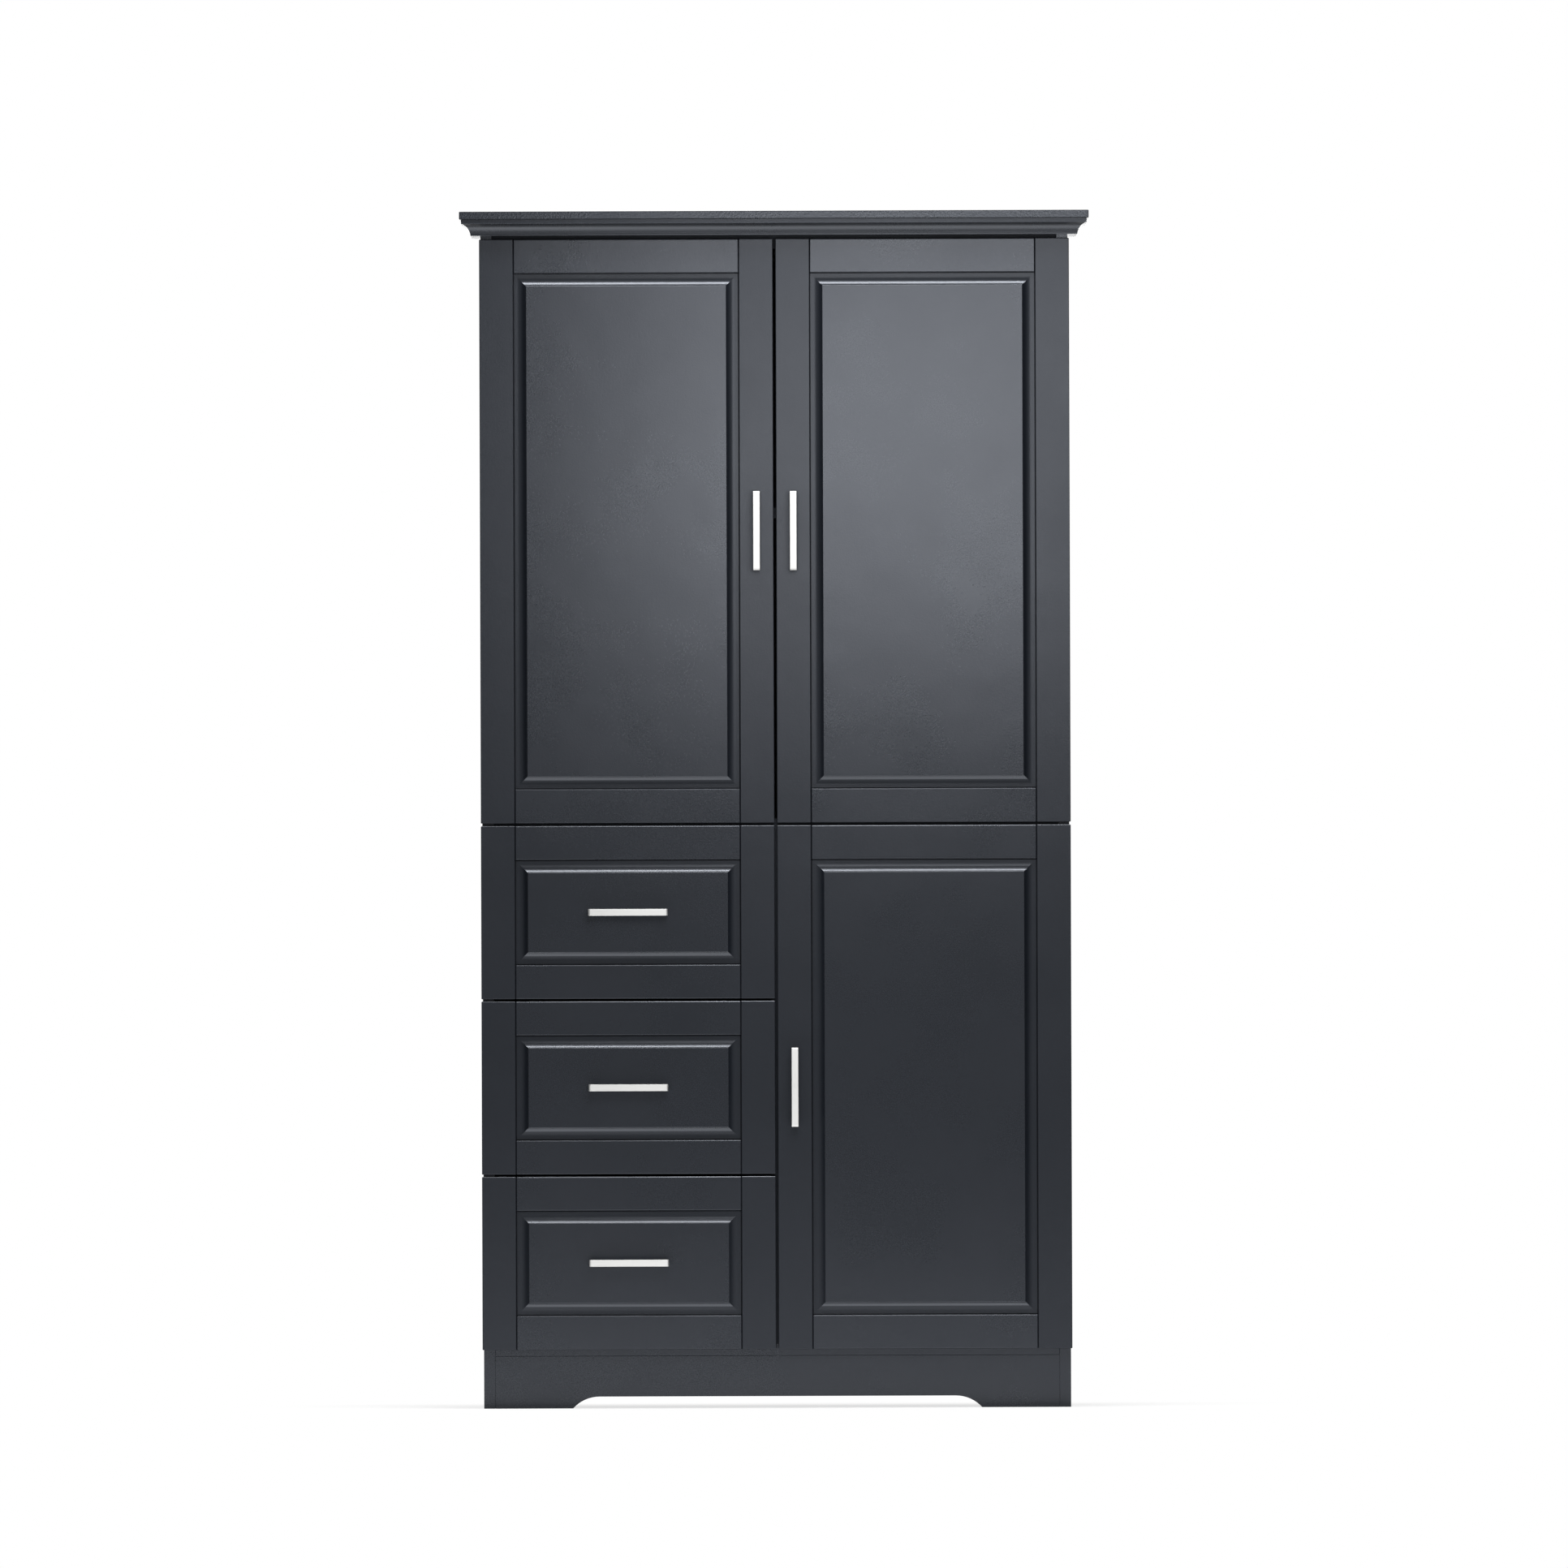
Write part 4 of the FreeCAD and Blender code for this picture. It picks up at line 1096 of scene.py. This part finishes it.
@dataclass
class DrawerRollers:
    """One drawer's moulded rollers, and the rivets and screws of its runners."""

    drawer: str
    width: float = 6.0 * MM
    bore: float = 2.2 * MM
    hub: float = 4.2 * MM
    rim: float = 1.8 * MM  # its thickness
    web_depth: float = 1.2 * MM  # below the hub and the rim
    chamfer: float = 0.5 * MM
    rivet: float = 3.0 * MM
    rivet_height: float = 0.6 * MM
    screw_ways: tuple[float, float, float] = (0.16, 0.5, 0.84)  # as shares of the runner's length
    sheet: float = 1.2 * MM  # the thickness of the runner's sheet
    space: float = 12.5 * MM  # beside the drawer, for a pair of runners
    screw: CrossScrew = CrossScrew(radius=3.0 * MM, height=0.9 * MM, slot_depth=0.5 * MM)
    dome: float = 0.6  # the flat top of a rivet's head, as a share of its radius
    steps: int = 40
    rivet_steps: int = 24

    def outline(self, radius: float) -> list[tuple[float, float]]:
        """Gives the section of a roller.

        Args:
            radius: The roller's radius.

        Returns:
            Points as (radius, way along the axle), closed on itself.
        """
        half = self.width / 2
        inner_rim = radius - self.rim
        points = [
            (self.bore, -half), (self.hub, -half), (self.hub + self.chamfer, -half + self.web_depth),
            (inner_rim - self.chamfer, -half + self.web_depth), (inner_rim, -half),
            (radius - self.chamfer, -half), (radius, -half + self.chamfer),
        ]
        mirrored = [(r, -way) for r, way in reversed(points)]
        return points + mirrored + points[:1]

    def build(self) -> None:
        """Builds both roller pairs and the small hardware on the runners."""
        on_cabinet, on_drawer = Form(NICKEL), Form(NICKEL)
        for place, rivets, outer in (("front", on_cabinet, 1.0), ("rear", on_drawer, -1.0)):
            node = f"{self.drawer}_{place}_rollers"
            box = Box.of(node)
            form = Form(NYLON)
            places = {Hand.LEFT: box.low.x + self.width / 2, Hand.RIGHT: box.high.x - self.width / 2}
            for hand, x in places.items():
                centre = Vector((x, box.centre.y, box.centre.z))
                form.turn(self.outline(box.size.z / 2), centre, RIGHT, self.steps)
                way = RIGHT * (-hand.value * outer)
                self.add_rivet(rivets, centre + way * (self.width / 2), way)
            form.finish(f"{self.drawer}_{place}_wheels", f"{self.drawer}_{place}_roller_pair", (node,))
        self.add_screws(on_cabinet, on_drawer)
        on_cabinet.finish(f"{self.drawer}_runner_fixings", "carcass")
        on_drawer.finish(f"{self.drawer}_rail_fixings", self.drawer)

    def add_rivet(self, form: Form, seat: Vector, way: Vector) -> None:
        """Adds a rivet's domed head beyond a roller's face.

        Args:
            form: The form that gets the head.
            seat: The middle of the roller's face.
            way: The way that the face looks, as a unit vector.
        """
        gap = self.rivet_height / 6
        outline = [
            (0.0, gap), (self.rivet, gap), (self.rivet, gap + self.rivet_height / 2),
            (self.rivet * self.dome, gap + self.rivet_height), (0.0, gap + self.rivet_height),
        ]
        form.turn(outline, seat, way, self.rivet_steps)

    def add_screws(self, on_cabinet: Form, on_drawer: Form) -> None:
        """Adds the screws that hold the channels and the drawer's rails.

        Args:
            on_cabinet: The form that gets the channels' screws.
            on_drawer: The form that gets the rails' screws.
        """
        runner = Box.of(f"{self.drawer}_runners")
        level = Box.of(f"{self.drawer}_rear_rollers").centre.z
        left = Box.of("left_side_panel").high.x
        right = Box.of("lower_divider").low.x
        for share in self.screw_ways:
            y = runner.low.y + share * runner.size.y
            for face, inwards in ((left, RIGHT), (right, -RIGHT)):
                seat = Vector((face, y, level))
                self.screw.add_to(on_cabinet, seat + inwards * self.sheet, inwards)
                self.screw.add_to(on_drawer, seat + inwards * (self.space - self.sheet), -inwards)


# Crown and top


@dataclass
class Crown:
    """The moulding under the top board, mitred round the front and both sides."""

    # Faces whose normal's Z is less than this belong to the cove, which gets a glossier paint as painted
    # sheen
    COVE_TURN: ClassVar[float] = -0.2
    # Only edges longer than this run along the moulding
    SHORT_EDGE: ClassVar[float] = 50.0 * MM

    step: float = 2.7 * MM  # behind the top board's edge
    fillet: float = 5.9 * MM
    quirk: float = 1.0 * MM  # from the fillet in to the cove
    foot: float = 13.0 * MM  # how far it stands out
    foot_height: float = 0.8 * MM
    sagitta: float = 2.6 * MM  # the depth of the cove's arc
    cove_steps: int = 10
    arris: float = 0.3 * MM
    board_arris: float = 0.9 * MM

    def outline(self, outer: float, low: float, high: float) -> list[tuple[float, float]]:
        """Gives the moulding's section as (way outwards, height).

        Args:
            outer: How far the fillet stands out.
            low: The height of the foot.
            high: The height of the top board's underside.

        Returns:
            The corners, from the foot's inner end round to the top's inner end.
        """
        start = Vector((self.foot, low + self.foot_height))
        end = Vector((outer - self.quirk, high - self.fillet))
        chord = end - start
        bulge = Vector((-chord.y, chord.x)).normalized()
        cove = [
            start + chord * share + bulge * (4.0 * self.sagitta * share * (1.0 - share))
            for share in (step / self.cove_steps for step in range(self.cove_steps + 1))
        ]
        corners = [(0.0, low), (self.foot, low)] + [tuple(point) for point in cove]
        return corners + [(outer, high - self.fillet), (outer, high), (0.0, high)]

    def build(self) -> None:
        """Builds the moulding as one mitred run, and the top board."""
        front = Box.of("crown_front_moulding")
        side = Box.of("left_side_panel")
        half = -side.low.x
        outer = front.high.x - half
        face = front.low.y + outer
        form = Form(ROUTED_PAINT, SHEEN_PAINT)
        corners = self.outline(outer, front.low.z, front.high.z)
        verts = [form.mesh.verts.new((-half - out, side.high.y, z)) for out, z in corners]
        edges = [form.mesh.edges.new(pair) for pair in zip(verts, verts[1:] + verts[:1])]
        first = edges
        ways: tuple[Callable[[Vector], Vector], ...] = (
            lambda p: Vector((p.x, face + half + p.x, p.z)),
            lambda p: Vector((half + face - p.y, p.y, p.z)),
            lambda p: Vector((p.x, side.high.y, p.z)),
        )
        for moved in ways:
            ring, edges = form.grow(edges)
            for vert in ring:
                vert.co = moved(vert.co)
        for loop in (first, edges):
            bmesh.ops.contextual_create(form.mesh, geom=loop)
        form.mesh.normal_update()
        long = [
            edge for edge in form.mesh.edges
            if not is_mitre(edge)
            and edge.calc_face_angle(0.0) > CORNER_TURN
            and edge.calc_length() > self.SHORT_EDGE
        ]
        form.soften(long, self.arris, 2)
        backing_low = Vector((-half, face, front.low.z))
        form.block(backing_low, Vector((half, side.low.y, front.high.z)), self.arris, 2)
        nodes = ("crown_front_moulding", "crown_left_moulding", "crown_right_moulding")
        form.mesh.normal_update()
        # The downward-facing cove gets the painted sheen
        for side_face in form.mesh.faces:
            form.paint(side_face, SHEEN_PAINT if side_face.normal.z < self.COVE_TURN else ROUTED_PAINT)
        form.finish("crown_moulding", "carcass", nodes, crease=is_mitre)
        self.build_board()

    def build_board(self) -> None:
        """Builds the top board with its softened lip."""
        form = Form(EDGE_PAINT, TOP_PAINT)
        box = Box.of("top_board")
        form.block(box.low, box.high, self.board_arris)
        form.paint(form.face_at(UP, box.high), TOP_PAINT)
        form.finish("crown_top_board", "carcass", ("top_board",))


# Carcass


@dataclass
class Carcass:
    """The CAD boards, shelves, runners and hinge halves that keep their own shapes."""

    arris: float = 0.5 * MM
    sheet_arris: float = 0.25 * MM  # for sheet metal and pins
    cam: CrossScrew = CrossScrew(7.5 * MM, 0.4 * MM, 3.4 * MM, 0.7 * MM, 0.3 * MM, steps=32)
    cam_from_end: float = 34.0 * MM
    cam_from_face: float = 70.0 * MM  # from the board's front and back edges
    boards: tuple[str, ...] = ("left_side_panel", "right_side_panel", "bottom_panel", "kick_board")
    inner_boards: tuple[str, ...] = ("middle_panel", "lower_divider", "upper_shelf", "lower_shelf")
    backs: tuple[str, ...] = ("upper_back_board", "lower_back_board")
    metal: tuple[str, ...] = ("hinge_arms", "hinge_plates", "shelf_pins")

    def build(self, drawers: Sequence[str]) -> None:
        """Dresses the boards and the hardware, and adds the cam covers.

        Args:
            drawers: The drawers' bodies.
        """
        for node in self.boards:
            self.dress(node, PAINT, self.arris)
        for node in self.inner_boards:
            self.dress(node, INNER_PAINT, self.arris)
        # The rail behind the gap under the crown wears the painted shade
        self.dress("top_front_rail", SHADE_PAINT, self.arris)
        for node in self.backs:
            board = BackBoard(f"{node}_finish", Slot.FIBREBOARD, middle=Box.of(node).centre.y)
            self.dress(node, board, self.sheet_arris)
        for node in self.metal:
            self.dress(node, NICKEL, self.sheet_arris)
        self.dress("cabinet_runners", COAT, self.sheet_arris)
        for drawer in drawers:
            self.dress(f"{drawer}_runners", COAT, self.sheet_arris)
            self.dress(f"{drawer}_box_walls", FOIL, self.arris)
            self.dress(f"{drawer}_box_bottom", FOIL, self.sheet_arris)
        self.build_cams()

    def dress(self, node: str, look: Finish, arris: float) -> None:
        """Gives a CAD node its finish and softens its edges.

        Args:
            node: The node's name.
            look: Its finish.
            arris: The radius of its edges.
        """
        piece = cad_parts[node]
        piece.data.materials.clear()
        piece.data.materials.append(look.material())
        weld = piece.modifiers.new("merged corners", "WELD")
        weld.merge_threshold = TINY
        soft = piece.modifiers.new("softened edges", "BEVEL")
        soft.width = arris
        soft.segments = 2
        soft.limit_method = "ANGLE"
        soft.angle_limit = CORNER_TURN
        LOG.info("%s: CAD node, finish %s", node, look.name)

    def build_cams(self) -> None:
        """Builds the cam covers on the inner faces of the boards."""
        form = Form(NICKEL)
        middle, divider = Box.of("middle_panel"), Box.of("lower_divider")
        left, right = Box.of("left_side_panel"), Box.of("right_side_panel")
        rows = (middle.low.y + self.cam_from_face, middle.high.y - self.cam_from_face)
        for y in rows:
            for x in (middle.low.x + self.cam_from_end, middle.high.x - self.cam_from_end):
                self.cam.add_to(form, Vector((x, y, middle.low.z)), -UP)
            for z in (divider.low.z + self.cam_from_end, divider.high.z - self.cam_from_end):
                self.cam.add_to(form, Vector((divider.high.x, y, z)), RIGHT)
            self.cam.add_to(form, Vector((left.high.x, y, left.high.z - self.cam_from_end)), RIGHT)
            self.cam.add_to(form, Vector((right.low.x, y, right.high.z - self.cam_from_end)), -RIGHT)
        form.finish("cam_covers", "carcass")


# The whole cabinet


@dataclass
class Cabinet:
    """The cabinet's sub-assemblies."""

    doors: tuple[str, ...] = ("upper_left_door", "upper_right_door", "lower_door")
    drawers: tuple[str, ...] = ("top_drawer", "middle_drawer", "bottom_drawer")

    def build(self) -> None:
        """Builds every piece in order."""
        hinges = [CupHinge(door) for door in self.doors]
        for hinge in hinges:
            door = hinge.door
            front = RaisedFront(door, (f"{door}_stiles", f"{door}_rails"), f"{door}_panel")
            front.build(hinge.bores())
            hinge.build()
            BarPull(f"{door}_pull", door, f"{door}_stiles").build()
        for drawer in self.drawers:
            RaisedFront(drawer, (f"{drawer}_front_frame",), f"{drawer}_front_panel").build()
            BarPull(f"{drawer}_pull", drawer, f"{drawer}_front_panel").build()
            DrawerRollers(drawer).build()
        HingeScrews().build(hinges)
        Crown().build()
        Carcass().build(self.drawers)


# Studio


@dataclass(frozen=True)
class SoftBox:
    """A square soft lamp."""

    name: str
    place: tuple[float, float, float]
    aim: tuple[float, float, float]  # what it looks at
    size: tuple[float, float]  # width and height
    power: float  # in watts

    def build(self) -> None:
        """Adds the lamp to the scene."""
        data = bpy.data.lights.new(self.name, "AREA")
        data.shape = "RECTANGLE"
        data.size, data.size_y = self.size
        data.energy = self.power
        lamp = bpy.data.objects.new(self.name, data)
        lamp.location = self.place
        lamp.rotation_euler = (Vector(self.aim) - Vector(self.place)).to_track_quat("-Z", "Y").to_euler()
        lamp.visible_camera = False
        bpy.context.scene.collection.objects.link(lamp)
        LOG.info("%s: %.0f W", self.name, self.power)


@dataclass
class Studio:
    """The floor, lamps, surroundings and camera."""

    image: float = 1932.0  # the photograph's width and height in pixels
    scale: float = 933.8  # the photograph's pixels to a metre on the fronts
    sensor: float = 36.0  # the sensor's width in millimetres
    distance: float = 86.0  # so long that no depth shows in the photograph
    eye_height: float = 0.83
    roll: float = math.radians(-0.19)
    middle: tuple[float, float] = (955.7, 960.0)  # the pixel where the view straight ahead falls
    floor_half: float = 30.0
    floor_colour: Colour = (0.82, 0.82, 0.82)
    floor_grain: float = 0.02
    card_colour: Colour = (0.02, 0.02, 0.02)
    card_grain: float = 0.004
    matt: float = 0.85  # the roughness of floor and cards
    matt_spread: float = 0.1
    ambient: float = 0.18  # the light from all round
    fade: float = 0.30  # the distance over which the floor goes white to the eye
    paleness: float = 0.72  # how white the floor is seen at the cabinet
    card_place: tuple[float, float] = (1.25, -0.83)  # to the side, and the Y
    card_size: tuple[float, float] = (0.95, 2.4)  # depth and height
    lamps: tuple[SoftBox, ...] = (
        SoftBox("key_lamp", (0.19, -1.80, 1.33), (0.19, 0.0, 1.33), (0.80, 0.66), 20.0),
        SoftBox("overhead_lamp", (0.0, -0.82, 2.50), (0.0, -0.82, 0.0), (1.7, 0.36), 54.0),
        SoftBox("floor_lamp", (0.0, -0.80, 0.004), (0.0, -0.80, 1.0), (1.6, 1.10), 14.0),
        SoftBox("low_lamp", (0.0, -1.60, 0.035), (0.0, 0.0, 0.035), (1.5, 0.06), 1.5),
        SoftBox("left_lamp", (-2.40, 0.40, 1.15), (0.0, 0.15, 0.80), (0.9, 1.5), 13.0),
        SoftBox("right_lamp", (2.40, 0.40, 1.15), (0.0, 0.15, 0.80), (0.9, 1.5), 13.0),
        SoftBox("rear_lamp", (0.0, 2.60, 1.90), (0.0, 0.25, 0.80), (2.2, 1.2), 42.0),
    )

    def build(self) -> None:
        """Sets up the studio."""
        self.build_floor()
        for hand in Hand:
            self.build_card(hand)
        self.build_surroundings()
        for lamp in self.lamps:
            lamp.build()
        self.build_camera()
        bpy.context.scene.view_settings.view_transform = "Standard"

    def stand(self, name: str, material: bpy.types.Material, half: float, place: Matrix) -> bpy.types.Object:
        """Adds a flat sheet to the studio.

        Args:
            name: The sheet's name.
            material: Its material.
            half: Half its width before it is set in place.
            place: The turn, scale and shift that set it in place.

        Returns:
            The sheet.
        """
        form = bmesh.new()
        bmesh.ops.create_grid(form, x_segments=1, y_segments=1, size=half, matrix=place)
        data = bpy.data.meshes.new(name)
        form.to_mesh(data)
        form.free()
        data.materials.append(material)
        sheet = bpy.data.objects.new(name, data)
        bpy.context.scene.collection.objects.link(sheet)
        LOG.info("%s: part of the studio", name)
        return sheet

    def floor_surface(self, graph: Graph) -> Wire:
        """Builds the floor's shader: shaded near the cabinet, and white to the eye further off.

        Args:
            graph: The material's empty graph.

        Returns:
            The shader's output.
        """
        place = graph.place()
        half = (*(CAD_BOUNDS[1] - CAD_BOUNDS[0]).xy / 2, 0.0)

        def vectors(operation: str, *values: Union[Wire, tuple[float, float, float]]) -> Outlets:
            """Adds a Vector Math node."""
            return graph.add("ShaderNodeVectorMath", {"operation": operation}, dict(enumerate(values)))

        beyond = vectors("SUBTRACT", vectors("ABSOLUTE", place)["Vector"], half)["Vector"]
        distance = vectors("LENGTH", vectors("MAXIMUM", beyond)["Vector"])["Value"]
        mottle = graph.noise(place, self.floor_grain, detail=3.0)
        roughness = self.matt + (mottle - EVEN) * self.matt_spread
        lit = graph.principled({"Base Color": (*self.floor_colour, 1.0), "Roughness": roughness})
        white = graph.add("ShaderNodeEmission", {}, {"Color": WHITE, "Strength": 1.0})["Emission"]
        direct = graph.add("ShaderNodeLightPath", {}, {})["Is Camera Ray"]
        shade = (1.0 - distance.rise(0.0, self.fade)) * (1.0 - self.paleness)
        factor = graph.seen() * (1.0 - direct * shade)
        return graph.add("ShaderNodeMixShader", {}, {0: factor, 1: lit, 2: white})["Shader"]

    def card_surface(self, graph: Graph) -> Wire:
        """Builds the shader of the dark cloth on the side cards.

        Args:
            graph: The material's empty graph.

        Returns:
            The shader's output.
        """
        cloth = graph.noise(graph.place(), self.card_grain, detail=2.0)
        roughness = self.matt + cloth * self.matt_spread
        return graph.principled({"Base Color": (*self.card_colour, 1.0), "Roughness": roughness})

    def build_floor(self) -> None:
        """Adds the pale floor, which keeps the shadow near the cabinet and is white further off."""
        material = new_material("pale_floor", self.floor_surface)
        self.stand("studio_floor", material, self.floor_half, Matrix.Identity(4))

    def build_card(self, hand: Hand) -> None:
        """Adds a dark card beside the cabinet, which only shows as a reflection.

        Args:
            hand: The side that it stands on.
        """
        turn = Matrix.Rotation(math.pi / 2, 4, "Y")
        depth, height = self.card_size
        scale = Matrix.Diagonal((1.0, depth / 2, height / 2, 1.0))
        aside, y = self.card_place
        place = Matrix.Translation((hand.value * aside, y, height / 2))
        name = f"studio_card_{hand.name.lower()}"
        card = self.stand(name, new_material(name, self.card_surface), 1.0, place @ scale @ turn)
        card.visible_camera = False
        card.visible_diffuse = False
        card.visible_shadow = False

    def build_surroundings(self) -> None:
        """Gives the world a white that is seen and a dimmer white that lights."""
        world = bpy.data.worlds.new("white_surroundings")
        world.use_nodes = True
        bpy.context.scene.world = world
        graph = Graph(world.node_tree)
        lit = graph.add("ShaderNodeBackground", {}, {"Color": WHITE, "Strength": self.ambient})["Background"]
        seen = graph.add("ShaderNodeBackground", {}, {"Color": WHITE, "Strength": 1.0})["Background"]
        surface = graph.add("ShaderNodeMixShader", {}, {0: graph.seen(), 1: lit, 2: seen})["Shader"]
        graph.add("ShaderNodeOutputWorld", {}, {"Surface": surface})

    def build_camera(self) -> None:
        """Adds the camera at the photograph's viewpoint."""
        data = bpy.data.cameras.new("photo_camera")
        data.sensor_width = self.sensor
        data.lens = self.scale * self.distance / self.image * self.sensor
        data.clip_end = 2.0 * self.distance
        data.shift_x = 0.5 - self.middle[0] / self.image
        data.shift_y = self.middle[1] / self.image - 0.5
        camera = bpy.data.objects.new("photo_camera", data)
        camera.location = (0.0, CAD_BOUNDS[0].y - self.distance, self.eye_height)
        level = Matrix.Rotation(math.pi / 2, 3, "X")
        camera.rotation_euler = (level @ Matrix.Rotation(self.roll, 3, "Z")).to_euler()
        bpy.context.scene.collection.objects.link(camera)
        bpy.context.scene.camera = camera


def main() -> None:
    """Builds the cabinet and its studio."""
    logging.basicConfig(level=logging.INFO, format="%(name)s: %(message)s")
    Cabinet().build()
    Studio().build()


if __name__ == "__main__":
    main()
